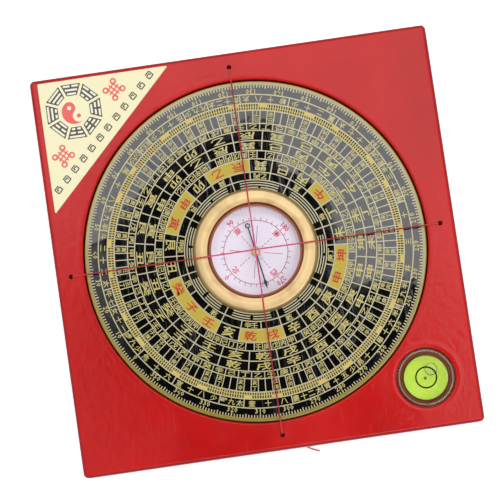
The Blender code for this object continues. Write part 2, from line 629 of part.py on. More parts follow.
def level_bubble():
    """The flattened air bubble under the vial's ceiling."""
    middle = BUBBLE_TOP - BUBBLE_HEIGHT / 2
    count = 2 * ROUND_STEPS + 2
    profile = []
    for step in range(count + 1):
        angle = math.pi * (step / count - 0.5)
        radius = BUBBLE_RADIUS * math.cos(angle) if 0 < step < count else 0
        profile.append((radius, middle + BUBBLE_HEIGHT / 2 * math.sin(angle)))
    offset = Vector((math.cos(BUBBLE_DIRECTION), math.sin(BUBBLE_DIRECTION), 0)) * BUBBLE_OFFSET
    link("level_bubble", turned_bmesh(profile, SMALL_STEPS), "air_bubble",
         place=LEVEL_PLACE + offset)


def level():
    """The bubble level: vial, base plug, liquid and bubble."""
    level_body()
    inner = LEVEL_CHAMBER_RADIUS - SEAT_GAP
    base_top = LEVEL_BOTTOM + LEVEL_BASE_THICKNESS
    disc("level_base", inner, LEVEL_BOTTOM, base_top, "level_green", LEVEL_PLACE)
    disc("level_fluid", inner, FLUID_BOTTOM, FLUID_TOP, "level_liquid", LEVEL_PLACE)
    level_bubble()


def main():
    """Build the whole compass."""
    clear_scene()
    frame_board()
    back_panel()
    label()
    taut_thread("thread_lengthwise", THREAD_SIDES["top"], THREAD_HEIGHT)
    taut_thread("thread_crosswise", THREAD_SIDES["right"], CROSSING_HEIGHT)
    for side, direction in THREAD_SIDES.items():
        knot(side, direction)
    thread_tail()
    level()
    dial_axis = axis_empty("dial_axis", (0, 0, 0), math.pi / 2 - DIAL_BEARING)
    dial_disc(dial_axis)
    dial_plate(dial_axis)
    compass_housing(dial_axis)
    ring("compass_card", CARD_HOLE_RADIUS, CARD_RADIUS, CARD_BOTTOM, CARD_THICKNESS,
         CAPSULE_STEPS, "compass_card", dial_axis)
    pivot(dial_axis)
    ring("lens_seal", LENS_RADIUS - SEAL_WIDTH, LENS_RADIUS, SEAL_BOTTOM, SEAL_HEIGHT,
         CAPSULE_STEPS, "seal_rubber", dial_axis)
    lens(dial_axis)
    bezel(dial_axis)
    needle_axis = axis_empty("needle_axis", (0, 0, 0), math.pi / 2 - NEEDLE_BEARING)
    needle(needle_axis)
    needle_cap(needle_axis)


main()
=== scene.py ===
"""Looks of a feng shui compass: lacquered board, printed dial, brass compass, bubble level, threads.

Every piece is built in metres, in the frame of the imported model, and rides on one of its bodies.
"""
import logging
from dataclasses import dataclass, field
from enum import Enum
from functools import cache, cached_property, partial, reduce
from math import asin, ceil, cos, degrees, exp, pi, radians, sin, tan, tau
from typing import Callable, Iterable, Sequence, Union

import bmesh
import bpy
from bpy.types import ID, Material, Mesh, Node, NodeSocket as Socket, NodeTree, Object
from mathutils import Matrix, Vector


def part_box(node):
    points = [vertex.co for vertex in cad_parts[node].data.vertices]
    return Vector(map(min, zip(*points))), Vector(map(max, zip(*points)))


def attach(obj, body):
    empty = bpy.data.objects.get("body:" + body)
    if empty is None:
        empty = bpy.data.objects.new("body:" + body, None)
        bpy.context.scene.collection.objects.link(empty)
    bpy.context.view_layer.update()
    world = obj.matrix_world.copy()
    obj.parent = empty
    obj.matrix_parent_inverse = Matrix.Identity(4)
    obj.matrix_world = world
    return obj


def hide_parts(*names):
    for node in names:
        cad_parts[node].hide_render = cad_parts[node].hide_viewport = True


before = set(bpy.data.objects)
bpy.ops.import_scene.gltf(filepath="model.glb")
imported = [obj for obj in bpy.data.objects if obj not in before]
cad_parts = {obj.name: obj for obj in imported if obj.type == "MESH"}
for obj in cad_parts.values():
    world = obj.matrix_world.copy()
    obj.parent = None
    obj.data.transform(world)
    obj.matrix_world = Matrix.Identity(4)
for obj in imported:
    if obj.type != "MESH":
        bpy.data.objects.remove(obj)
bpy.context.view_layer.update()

LOG = logging.getLogger("compass")

Pair = tuple[float, float]
Triple = tuple[float, float, float]
Points = Sequence[Pair]
Shape = bmesh.types.BMesh
Sockets = Sequence[Socket]
Feed = Union[Socket, float, Sequence[float]]
Feeds = dict[object, Feed]


def heights(node: str) -> Pair:
    """The heights of a CAD node's lowest and highest points."""
    low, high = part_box(node)
    return low[2], high[2]


# Sizes and places that several pieces share
SHARP_ANGLE = radians(32)
MERGE_DISTANCE = 0.0000008
OVERRUN = 0.001
CLEARANCE = 0.0003
FULL_TURN = 360.0
EIGHTH_TURN = 45.0
DIAL_BEARING = 236.6
NEEDLE_BEARING = 170.6
PLATE_TOP = heights("dial_plate")[1]
BOARD_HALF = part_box("frame_board")[1][0]
BOARD_TOP = heights("frame_board")[1]
BOARD_ROUND = 0.0011
PANEL_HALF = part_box("back_panel")[1][0]
PANEL_TOP = heights("back_panel")[1]
FINGER_HOLE = 0.0125
HOLE_REACH = 0.056
LEVEL_LOW, LEVEL_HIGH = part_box("level_body")
LEVEL_PLACE = Vector(((LEVEL_LOW[0] + LEVEL_HIGH[0]) / 2, (LEVEL_LOW[1] + LEVEL_HIGH[1]) / 2, 0.0))
CARD_INK_DEPTH = 0.00002


class Body(Enum):
    """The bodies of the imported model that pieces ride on."""

    BOARD = "board"
    DIAL = "dial"
    NEEDLE = "needle"
    LIQUID = "level_liquid"
    BUBBLE = "bubble"


# Wiring of materials
class Graph:
    """A node tree being wired. Its methods add nodes and return their output sockets."""

    def __init__(self, tree: NodeTree) -> None:
        """Keep the tree that nodes are added to."""
        self.tree = tree

    def node(self, kind: str, feeds: Feeds | None = None, **settings: object) -> Node:
        """Add a node.

        Args:
            kind: the node's type, without its ShaderNode prefix.
            feeds: a plain value or an output socket for each input.
            settings: attributes of the node.

        Returns:
            The node.
        """
        made = self.tree.nodes.new(f"ShaderNode{kind}")
        for label, value in settings.items():
            setattr(made, label, value)
        for label, value in (feeds or {}).items():
            if isinstance(value, Socket):
                self.tree.links.new(value, made.inputs[label])
            else:
                made.inputs[label].default_value = value
        return made

    @cached_property
    def place(self) -> Socket:
        """The piece's own coordinates, in metres; a group is given its own."""
        return self.node("TexCoord").outputs["Object"]

    def math(self, operation: str, first: Feed, second: Feed = 0.0) -> Socket:
        """One step of arithmetic."""
        return self.node("Math", {0: first, 1: second}, operation=operation).outputs[0]

    def plus(self, *terms: Feed) -> Socket:
        """A sum."""
        return reduce(partial(self.math, "ADD"), terms)

    def minus(self, first: Feed, second: Feed) -> Socket:
        """A difference."""
        return self.math("SUBTRACT", first, second)

    def times(self, *factors: Feed) -> Socket:
        """A product."""
        return reduce(partial(self.math, "MULTIPLY"), factors)

    def most(self, *values: Feed) -> Socket:
        """The greatest of some values."""
        return reduce(partial(self.math, "MAXIMUM"), values)

    def least(self, first: Feed, second: Feed) -> Socket:
        """The smaller of two values."""
        return self.math("MINIMUM", first, second)

    def size_of(self, value: Feed) -> Socket:
        """A value without its sign."""
        return self.math("ABSOLUTE", value)

    def noise(self, scale: Feed, detail: float = 2.0, roughness: float = 0.5,
              over: Socket | None = None) -> Socket:
        """Noise from 0 to 1 over the surface, or over other coordinates."""
        feeds = {"Vector": self.place if over is None else over, "Scale": scale, "Detail": detail,
                 "Roughness": roughness}
        return self.node("TexNoise", feeds).outputs[0]

    def stretched(self, scale: Triple, turn: float = 0.0) -> Socket:
        """The coordinates scaled on each axis, after a turn about Z."""
        feeds = {"Vector": self.place, "Scale": scale, "Rotation": (0.0, 0.0, turn)}
        return self.node("Mapping", feeds).outputs[0]

    def ease(self, value: Feed, low: Feed, high: Feed) -> Socket:
        """A smooth step from 0 at low to 1 at high."""
        feeds = {"Value": value, "From Min": low, "From Max": high}
        return self.node("MapRange", feeds, interpolation_type="SMOOTHSTEP").outputs[0]

    def between(self, value: Feed, low: Feed, high: Feed) -> Socket:
        """A value from 0 to 1 carried to the range from low to high."""
        return self.node("MapRange", {"Value": value, "To Min": low, "To Max": high}).outputs[0]

    def about(self, value: Feed, middle: float, below: float, above: float) -> Socket:
        """A value from 0 to 1 carried to a range about a middle."""
        return self.between(value, middle - below, middle + above)

    def blend(self, share: Feed, first: Feed, second: Feed, mode: str = "MIX") -> Socket:
        """A mix of two colours."""
        feeds = {0: share, 6: full(first), 7: full(second)}
        return self.node("Mix", feeds, data_type="RGBA", blend_type=mode).outputs[2]

    def parts(self, vector: Feed) -> Sockets:
        """The X, Y and Z of a vector."""
        return self.node("SeparateXYZ", {"Vector": vector}).outputs

    def join(self, x: Feed, y: Feed = 0.0) -> Socket:
        """A vector from its X and Y."""
        return self.node("CombineXYZ", {0: x, 1: y}).outputs[0]

    def radius(self, vector: Feed) -> Socket:
        """The distance from the Z axis."""
        flat = self.node("Mapping", {"Vector": vector, "Scale": (1.0, 1.0, 0.0)}).outputs[0]
        return self.node("VectorMath", {0: flat}, operation="LENGTH").outputs["Value"]

    def effect(self, shared: "Effect", **feeds: Feed) -> Sockets:
        """Place a shared effect and return its outputs."""
        return self.node("Group", {"Place": self.place, **feeds}, node_tree=shared.tree()).outputs

    def mottle(self, size: float, low: float, high: float) -> Socket:
        """Broad uneven patches that span a range."""
        return self.effect(MOTTLE, Size=size, Low=low, High=high)["Value"]

    def dust(self, size: float, share: float) -> Socket:
        """A mask of scattered specks."""
        return self.effect(DUST, Size=size, Share=share)["Mask"]

    def hairlines(self, size: float, share: float) -> Socket:
        """A mask of fine scratches."""
        return self.effect(SCRATCHES, Size=size, Share=share)["Mask"]

    def bump(self, height: Feed, depth: float, under: Socket | None = None) -> Socket:
        """A normal bent by a height from 0 to 1.

        Args:
            height: the height.
            depth: how deep it goes, in metres.
            under: the normal that it bends, if not the face's own.

        Returns:
            The normal.
        """
        feeds: Feeds = {"Height": height, "Distance": depth, "Strength": 1.0}
        if under is not None:
            feeds["Normal"] = under
        return self.node("Bump", feeds).outputs[0]

    def surface(self, shader: Socket) -> None:
        """Show a shader."""
        self.node("OutputMaterial", {"Surface": shader})

    def paint(self, colour: Feed, rough: Feed, others: Feeds) -> None:
        """Show a Principled shader of a colour and a roughness, with its other inputs by name."""
        feeds = {"Base Color": colour, "Roughness": rough, **others}
        self.surface(self.node("BsdfPrincipled", feeds).outputs[0])

    def clear(self, colour: Triple, rough: Feed, index: float) -> None:
        """Show a see-through shader that lets the lamps' light pass.

        Args:
            colour: its colour.
            rough: its roughness.
            index: its index of refraction.
        """
        glass = {"Base Color": full(colour), "Roughness": rough, "IOR": index, "Metallic": 0.0,
                 "Transmission Weight": 1.0}
        glassy = self.node("BsdfPrincipled", glass).outputs[0]
        open_shader = self.node("BsdfTransparent", {"Color": full(colour)}).outputs[0]
        lamp_ray = self.node("LightPath").outputs["Is Shadow Ray"]
        self.surface(self.node("MixShader", {0: lamp_ray, 1: glassy, 2: open_shader}).outputs[0])


def full(colour: Feed) -> Feed:
    """A colour with its alpha, if it is a plain colour."""
    return (*colour, 1.0) if isinstance(colour, tuple) and len(colour) == 3 else colour


class MaterialGraph(Graph):
    """The graph of a new material."""

    def __init__(self, name: str) -> None:
        """Make the material, empty."""
        self.material = bpy.data.materials.new(name)
        self.material.use_nodes = True
        super().__init__(self.material.node_tree)
        self.tree.nodes.clear()


@dataclass(frozen=True)
class Effect:
    """An effect that several materials share, as a node group that is built once."""

    name: str
    wire: Callable[[Graph, Sockets], dict[str, Socket]]
    inputs: tuple[str, ...]
    outputs: tuple[str, ...]

    @cache
    def tree(self) -> NodeTree:
        """The effect's node group.

        Returns:
            The group, with one vector input named Place and plain values for the others.
        """
        tree = bpy.data.node_groups.new(self.name, "ShaderNodeTree")
        tree.interface.new_socket(name="Place", in_out="INPUT", socket_type="NodeSocketVector")
        for in_out, labels in (("INPUT", self.inputs), ("OUTPUT", self.outputs)):
            for label in labels:
                tree.interface.new_socket(name=label, in_out=in_out, socket_type="NodeSocketFloat")
        given = tree.nodes.new("NodeGroupInput").outputs
        sink = tree.nodes.new("NodeGroupOutput")
        graph = Graph(tree)
        graph.place = given["Place"]
        for label, socket in self.wire(graph, given).items():
            tree.links.new(socket, sink.inputs[label])
        return tree


def wire_mottle(graph: Graph, given: Sockets) -> dict[str, Socket]:
    """Broad uneven patches: Size is their scale, Low and High the range that they span."""
    patches = graph.ease(graph.noise(given["Size"], detail=4.0, roughness=0.6), low=0.3, high=0.7)
    return {"Value": graph.between(patches, given["Low"], given["High"])}


def wire_dust(graph: Graph, given: Sockets) -> dict[str, Socket]:
    """Scattered round specks.

    Args:
        graph: the group's graph.
        given: Size, the scale of the specks' cells, and Share, how many cells have one.

    Returns:
        Their Mask.
    """
    cells = graph.node("TexVoronoi", {"Vector": graph.place, "Scale": given["Size"]}).outputs
    chosen = graph.math("GREATER_THAN", given["Share"], graph.parts(cells["Color"])[0])
    return {"Mask": graph.times(graph.ease(cells["Distance"], low=0.22, high=0.1), chosen)}


def wire_scratches(graph: Graph, given: Sockets) -> dict[str, Socket]:
    """Fine hairlines in two directions.

    Args:
        graph: the group's graph.
        given: Size, their scale, and Share, how much of the face has them.

    Returns:
        Their Mask.
    """
    masks = []
    for turn, squeeze in ((0.6, 0.02), (-0.9, 0.03)):
        lines = graph.noise(given["Size"], detail=1.0, over=graph.stretched((1.0, squeeze, 1.0), turn))
        masks.append(graph.ease(graph.size_of(graph.minus(lines, 0.5)), low=0.01, high=0.0))
    patches = graph.noise(scale=70.0, detail=1.0)
    chosen = graph.math("GREATER_THAN", patches, graph.minus(1.0, given["Share"]))
    return {"Mask": graph.times(graph.most(*masks), chosen)}


def wire_turning(graph: Graph, given: Sockets) -> dict[str, Socket]:
    """The concentric marks of a lathe.

    Args:
        graph: the group's graph.
        given: Size, the marks' scale.

    Returns:
        The marks as Value, and broad Patches.
    """
    size = given["Size"]
    reach, up = graph.radius(graph.place), graph.parts(graph.place)[2]
    line = graph.join(graph.times(reach, size), graph.times(up, size))
    return {"Value": graph.noise(scale=1.0, detail=3.0, roughness=0.7, over=line),
            "Patches": graph.noise(scale=160.0)}


def wire_wear(graph: Graph, given: Sockets) -> dict[str, Socket]:
    """Rubbed edges, darkened as wear and as painted shade.

    Args:
        graph: the group's graph.
        given: Edge, 0 off the edge and 1 on it, and Share, how much of it the mask covers.

    Returns:
        Their Mask.
    """
    fine = graph.noise(scale=420.0, detail=5.0, roughness=0.7)
    broad = graph.noise(scale=55.0)
    bound = graph.minus(1.0, graph.times(given["Share"], given["Edge"]))
    both = graph.plus(graph.times(fine, 0.5), graph.times(broad, 0.5))
    return {"Mask": graph.ease(both, bound, graph.plus(bound, 0.06))}


MOTTLE = Effect("mottle", wire_mottle, ("Size", "Low", "High"), ("Value",))
DUST = Effect("dust", wire_dust, ("Size", "Share"), ("Mask",))
SCRATCHES = Effect("scratches", wire_scratches, ("Size", "Share"), ("Mask",))
TURNING = Effect("turning_marks", wire_turning, ("Size",), ("Value", "Patches"))
WEAR_AND_SHADE = Effect("edge_wear_and_shade", wire_wear, ("Edge", "Share"), ("Mask",))


# Kinds of finish
@dataclass(frozen=True)
class Finish:
    """A finish of the compass. Each kind wires its own material, which is made once."""

    name: str

    @cached_property
    def graph(self) -> MaterialGraph:
        """The graph of the finish's material, empty until it is wired."""
        return MaterialGraph(self.name)

    @cache
    def material(self) -> Material:
        """The finish's material.

        Returns:
            The material.
        """
        self.wire()
        return self.graph.material

    def wire(self) -> None:
        """Wire the material."""
        raise NotImplementedError


@dataclass(frozen=True)
class Lacquer(Finish):
    """Glossy lacquer on wood: uneven depth of colour, dust under the gloss, wear with painted shade on the
    arrises, and painted shade at the silhouette, holes and pocket.
    """

    colour: Triple
    dark: Triple
    gloss: float
    half: float
    top: float
    round_size: float
    # Bare wood inside the level's pocket, darkened further as painted shade.
    raw: Triple = (0.3, 0.085, 0.055)
    # A darker red in and round the thread holes, as painted shade.
    hole_colour: Triple = (0.42, 0.006, 0.003)
    shine: float = 0.3
    hole: float = 0.00072
    hole_blur: float = 0.0001
    pocket: float = 0.0091
    pocket_lip: float = 0.0007
    # The arris darkens as wear and painted shade; the shares below set a painted shade line at the
    # silhouette.
    edge_share: float = 0.6
    line_shares: Pair = (0.35, 0.8)
    foot_shares: Pair = (2.6, 1.2)
    dust_share: float = 0.35
    worn_share: float = 0.6
    line_share: float = 0.95
    hair_roughness: float = 0.12
    worn_roughness: float = 0.35
    raw_roughness: float = 0.6
    dust_height: float = 0.00001

    def holes(self) -> Socket:
        """A mask of the four thread holes, which lie alike on both axes; they and their rims get a darker
        red as painted shade.

        Returns:
            The mask.
        """
        graph = self.graph
        x, y, _ = graph.parts(graph.place)
        far, near = graph.size_of(x), graph.size_of(y)
        spot = graph.join(graph.minus(graph.most(far, near), HOLE_REACH), graph.least(far, near))
        return graph.ease(graph.radius(spot), self.hole + self.hole_blur, self.hole)

    def inside(self) -> Socket:
        """A mask of the inside of the level's pocket, coloured as bare wood darkened with painted shade.

        Returns:
            The mask.
        """
        graph = self.graph
        shifted = graph.node("VectorMath", {0: graph.place, 1: LEVEL_PLACE}, operation="SUBTRACT")
        up = graph.parts(graph.place)[2]
        near = graph.math("LESS_THAN", graph.radius(shifted.outputs[0]), self.pocket)
        low = graph.math("LESS_THAN", up, self.top - self.pocket_lip)
        over_floor = graph.math("GREATER_THAN", up, LEVEL_LOW[2] / 2)
        return graph.times(near, graph.times(low, over_floor))

    def arris(self) -> tuple[Socket, Socket]:
        """Masks of the board's outer edge.

        Returns:
            The rounded edge's mask, and the mask of a painted shade line on the edge's outer part and the
            side just below it.
        """
        graph = self.graph
        x, y, z = graph.parts(graph.place)
        size = self.round_size
        out = graph.minus(graph.most(graph.size_of(x), graph.size_of(y)), self.half - size)
        edge = graph.ease(graph.least(out, graph.minus(z, self.top - size)), 0.0, self.edge_share * size)
        # Painted shade: a dark line where the edge turns down at the silhouette.
        line = graph.ease(out, *(share * size for share in self.line_shares))
        low = graph.ease(z, *(self.top - share * size for share in self.foot_shares))
        return edge, graph.times(line, low)

    def wire(self) -> None:
        """Wire the material."""
        graph = self.graph
        depth = graph.mottle(size=26.0, low=0.86, high=1.06)
        dust = graph.dust(size=900.0, share=0.05)
        edge, line = self.arris()
        # The rubbed arris is wear and painted shade; the silhouette line is painted shade.
        rubbed = graph.effect(WEAR_AND_SHADE, Edge=edge, Share=0.46)["Mask"]
        darkening = graph.most(graph.times(rubbed, self.worn_share), graph.times(line, self.line_share))
        inside, holes = self.inside(), self.holes()
        colour = graph.blend(1.0, self.colour, depth, "MULTIPLY")
        # Dust specks darken as dust; the arris and silhouette line darken as wear and painted shade; the
        # pocket and holes darken with painted shade.
        for share, other in ((graph.times(dust, self.dust_share), self.dark), (darkening, self.dark),
                             (inside, self.raw), (holes, self.hole_colour)):
            colour = graph.blend(share, colour, other)
        hairs = graph.hairlines(size=500.0, share=0.45)
        rough = graph.plus(self.gloss, graph.mottle(size=60.0, low=-0.03, high=0.05),
                           graph.times(hairs, self.hair_roughness), graph.times(darkening, self.worn_roughness),
                           graph.times(graph.most(inside, holes), self.raw_roughness))
        ripple = graph.noise(scale=420.0, detail=3.0, roughness=0.6)
        normal = graph.bump(dust, self.dust_height, graph.bump(ripple, depth=0.00005))
        graph.paint(colour, rough, {"Normal": normal, "Specular IOR Level": self.shine})


@dataclass(frozen=True)
class BlackEnamel(Finish):
    """The dial's ground: deep glossy black with faint hairlines and dust."""

    colour: Triple
    gloss: float
    index: float
    mark: Triple = (0.5, 0.5, 0.48)
    hair_share: float = 0.03
    dust_share: float = 0.1
    hair_roughness: float = 0.2

    def wire(self) -> None:
        """Wire the material."""
        graph = self.graph
        hairs = graph.hairlines(size=700.0, share=0.5)
        dust = graph.dust(size=1300.0, share=0.06)
        marks = graph.most(graph.times(hairs, self.hair_share), graph.times(dust, self.dust_share))
        rough = graph.plus(graph.mottle(size=90.0, low=0.0, high=0.03), self.gloss,
                           graph.times(hairs, self.hair_roughness))
        normal = graph.bump(graph.noise(scale=180.0), depth=0.00001)
        graph.paint(graph.blend(marks, self.colour, self.mark), rough,
                    {"Normal": normal, "IOR": self.index})


@dataclass(frozen=True)
class PrintInk(Finish):
    """Printing ink: a little uneven in cover, with a fine tooth."""

    colour: Triple
    other: Triple
    roughness: float
    shine: float = 0.5
    varnish: float = 0.0

    def wire(self) -> None:
        """Wire the material."""
        graph = self.graph
        share = graph.times(graph.mottle(size=900.0, low=0.0, high=1.0),
                            graph.mottle(size=45.0, low=0.0, high=0.6))
        tooth = graph.noise(scale=6000.0)
        rough = graph.about(tooth, self.roughness, below=0.08, above=0.1)
        graph.paint(graph.blend(share, self.colour, self.other), rough,
                    {"Normal": graph.bump(tooth, depth=0.000002), "Specular IOR Level": self.shine,
                     "Coat Weight": self.varnish})


@dataclass(frozen=True)
class TurnedMetal(Finish):
    """Metal from the lathe: concentric marks, and tarnish in patches."""

    colour: Triple
    tarnish: Triple
    roughness: float
    marks: float
    patina: float
    metallic: float = 0.9
    broad_share: float = 0.3
    mark_share: float = 0.22
    band_share: float = 0.42

    def stain(self, colour: Socket) -> Socket:
        """Stain the metal's colour where it is stained; plain turned metal isn't."""
        return colour

    def wire(self) -> None:
        """Wire the material."""
        graph = self.graph
        lathe = graph.effect(TURNING, Size=self.marks)
        bands = graph.effect(TURNING, Size=self.broad_share * self.marks)["Value"]
        dull = graph.plus(graph.times(graph.ease(lathe["Patches"], low=0.42, high=0.75), self.patina),
                          graph.times(lathe["Value"], self.mark_share),
                          graph.times(graph.ease(bands, low=0.42, high=0.62), self.band_share))
        colour = self.stain(graph.blend(dull, self.colour, self.tarnish))
        rough = graph.about(lathe["Value"], self.roughness, below=0.12, above=0.12)
        graph.paint(colour, rough, {"Metallic": self.metallic,
                                    "Normal": graph.bump(lathe["Value"], depth=0.000012)})


@dataclass(frozen=True)
class BezelMetal(TurnedMetal):
    """Turned metal of the bezel, darkened in its mouth as tarnish and painted shade, and on its outer
    part, most at one side, as painted shade.
    """

    mouth: float = 0.0144
    lip: float = 0.0138
    # The mouth's colour is tarnish with painted shade in the recess.
    mouth_colour: Triple = (0.24, 0.065, 0.03)
    lip_colour: Triple = (0.31, 0.11, 0.065)
    # The next five fields place a painted shade on the face's outer part, darkest toward the left.
    slant: float = 0.35
    side: Pair = (-0.006, -0.018)
    side_least: float = 0.45
    side_share: float = 0.6
    outer: Pair = (0.0156, 0.0174)
    mouth_blur: Pair = (0.00035, -0.00005)
    lip_blur: float = 0.00006

    def stain(self, colour: Socket) -> Socket:
        """Stain the metal's colour and paint shade on it.

        Args:
            colour: the metal's colour.

        Returns:
            The colour with its tarnish and painted shade.
        """
        graph = self.graph
        reach = graph.radius(graph.place)
        x, y, _ = graph.parts(graph.place)
        # Painted shade: the face's outer part is darker, most toward the left.
        side = graph.most(graph.ease(graph.minus(x, graph.times(y, self.slant)), *self.side),
                          self.side_least)
        darkening = graph.times(side, graph.ease(reach, *self.outer), self.side_share)
        # The mouth darkens as tarnish and as painted shade in the recess.
        near = graph.ease(reach, *(self.mouth + blur for blur in self.mouth_blur))
        in_lip = graph.ease(reach, self.lip + self.lip_blur, self.lip)
        for share, other in ((darkening, self.tarnish), (near, self.mouth_colour), (in_lip, self.lip_colour)):
            colour = graph.blend(share, colour, other)
        return colour


@dataclass(frozen=True)
class Steel(Finish):
    """Thin rolled steel with draw marks and faint heat colour."""

    colour: Triple
    heat: Triple
    roughness: float
    draw_scale: Triple = (8000.0, 1200.0, 4000.0)
    draw_turn: float = -0.16

    def wire(self) -> None:
        """Wire the material."""
        graph = self.graph
        grain = graph.noise(scale=1.0, over=graph.stretched(self.draw_scale, self.draw_turn))
        colour = graph.blend(graph.noise(scale=500.0), self.colour, self.heat)
        rough = graph.about(grain, self.roughness, below=0.1, above=0.12)
        graph.paint(colour, rough, {"Metallic": 1.0, "Normal": graph.bump(grain, depth=0.000004)})


@dataclass(frozen=True)
class Glass(Finish):
    """Clear glass or acrylic, with the faintest haze and hairlines."""

    colour: Triple
    index: float
    hairs: float
    hair_roughness: float = 0.05

    def wire(self) -> None:
        """Wire the material."""
        graph = self.graph
        lines = graph.hairlines(size=600.0, share=self.hairs)
        smear = graph.mottle(size=120.0, low=0.0, high=0.02)
        graph.clear(self.colour, graph.plus(smear, graph.times(lines, self.hair_roughness)), self.index)


@dataclass(frozen=True)
class Paper(Finish):
    """Coated paper: fibres, a slight yellowing in patches, and dirt in specks."""

    colour: Triple
    aged: Triple
    roughness: float
    ageing: float
    dirt: Triple = (0.25, 0.18, 0.1)
    fibre_share: float = 0.12
    dirt_share: float = 0.4

    def shade(self, share: Socket) -> Socket:
        """Add what darkens the paper beyond its age; plain paper has none."""
        return share

    def wire(self) -> None:
        """Wire the material."""
        graph = self.graph
        lines = graph.stretched((1.0, 0.3, 1.0), turn=0.5)
        fibres = graph.noise(scale=3800.0, detail=3.0, roughness=0.6, over=lines)
        patches = graph.ease(graph.noise(scale=38.0, detail=3.0), low=0.35, high=0.75)
        share = graph.plus(graph.times(patches, self.ageing), graph.times(fibres, self.fibre_share))
        colour = graph.blend(self.shade(share), self.colour, self.aged)
        specks = graph.times(graph.dust(size=1500.0, share=0.02), self.dirt_share)
        rough = graph.about(fibres, self.roughness, below=0.06, above=0.1)
        graph.paint(graph.blend(specks, colour, self.dirt), rough,
                    {"Normal": graph.bump(fibres, depth=0.000004)})


@dataclass(frozen=True)
class RayedPaper(Paper):
    """The card's paper, darker in its middle, which leaves its rim lighter as painted light, and darker in
    faint rays round it.
    """

    rays: float = 0.009
    ray_scale: float = 24.0
    ray_end_share: float = 0.2
    ray_share: float = 0.4
    middle_blur_share: float = 1.3
    middle_share: float = 0.3

    def shade(self, share: Socket) -> Socket:
        """Add the rays, and the darker middle that leaves the rim lighter as painted light.

        Args:
            share: how aged the paper is.

        Returns:
            The share with both.
        """
        graph = self.graph
        x, y, _ = graph.parts(graph.place)
        reach = graph.radius(graph.place)
        around = graph.join(graph.times(graph.math("ARCTAN2", y, x), self.ray_scale))
        fan = graph.ease(graph.noise(scale=1.0, detail=1.0, over=around), low=0.5, high=0.7)
        near = graph.ease(reach, self.rays, self.ray_end_share * self.rays)
        # Painted light: the middle is darkened so that the rim, which the cup's wall shades, stays light.
        middle = graph.ease(reach, self.middle_blur_share * self.rays, self.rays)
        return graph.plus(share, graph.times(fan, near, self.ray_share),
                          graph.times(middle, self.middle_share))


@dataclass(frozen=True)
class Thread(Finish):
    """Twisted silk-like thread: fibres along the strand, darker over the dial as painted shade, and
    lighter over the board, the bezel and the card as painted light.
    """

    # The first colour is its look over the black dial, darkened as painted shade; the third and fourth are
    # painted light.
    colour: Triple
    pale: Triple
    rubbed: Triple
    faded: Triple
    roughness: float = 0.62
    sheen: float = 0.1
    ends: Pair = (0.05, 0.053)
    over_bezel: Pair = (0.019, 0.0185)
    over_glass: Pair = (0.015, 0.014)
    pale_share: float = 0.5
    fibre_share: float = 0.3

    def wire(self) -> None:
        """Wire the material."""
        graph = self.graph
        reach = graph.radius(graph.place)
        fibres = graph.noise(scale=14000.0, roughness=0.7)
        patches = graph.ease(graph.noise(scale=250.0), low=0.35, high=0.8)
        share = graph.plus(graph.times(patches, self.pale_share), graph.times(fibres, self.fibre_share))
        colour = graph.blend(share, self.colour, self.pale)
        # Painted light: lighter over the board and the bezel, palest and pinkest over the card.
        for span, other in ((self.ends, self.rubbed), (self.over_bezel, self.rubbed),
                            (self.over_glass, self.faded)):
            colour = graph.blend(graph.ease(reach, *span), colour, other)
        graph.paint(colour, self.roughness, {"Sheen Weight": self.sheen,
                                             "Normal": graph.bump(fibres, depth=0.00002)})


@dataclass(frozen=True)
class Wood(Finish):
    """Stained wood, close grained."""

    colour: Triple
    pale: Triple
    roughness: float

    def wire(self) -> None:
        """Wire the material."""
        graph = self.graph
        grain = graph.noise(scale=900.0, detail=4.0, roughness=0.6,
                            over=graph.stretched((0.05, 1.0, 0.4)))
        fine = graph.noise(scale=3500.0, detail=1.0, over=graph.stretched((0.04, 1.0, 1.0)))
        pores = graph.ease(fine, low=0.6, high=0.7)
        rough = graph.about(grain, self.roughness, below=0.08, above=0.12)
        graph.paint(graph.blend(grain, self.colour, self.pale), rough,
                    {"Normal": graph.bump(pores, depth=0.00003)})


@dataclass(frozen=True)
class Moulded(Finish):
    """Moulded plastic, rubber or stone, with a fine surface."""

    colour: Triple
    other: Triple
    roughness: float

    def wire(self) -> None:
        """Wire the material."""
        graph = self.graph
        cloud = graph.mottle(size=320.0, low=0.0, high=1.0)
        fine = graph.noise(scale=2600.0, detail=3.0)
        rough = graph.about(fine, self.roughness, below=0.05, above=0.08)
        graph.paint(graph.blend(cloud, self.colour, self.other), rough,
                    {"Normal": graph.bump(fine, depth=0.00001)})


@dataclass(frozen=True)
class AirBubble(Finish):
    """Air under the vial's ceiling: clear in the middle with a pale painted light, and a darker rim of
    painted shade for its refracting edge.
    """

    rim: Triple
    inside: Triple
    roughness: float = 0.04
    rim_alpha: float = 0.75

    def wire(self) -> None:
        """Wire the material."""
        graph = self.graph
        facing = graph.node("LayerWeight", {"Blend": 0.5}).outputs["Facing"]
        # Painted shade at the rim and painted light in the middle stand in for the bubble's refraction.
        rim = graph.ease(facing, low=0.1, high=0.42)
        wobble = graph.between(graph.noise(scale=900.0), low=0.12, high=0.22)
        alpha = graph.plus(graph.times(rim, self.rim_alpha), wobble)
        graph.paint(graph.blend(rim, self.inside, self.rim), self.roughness, {"Alpha": alpha})


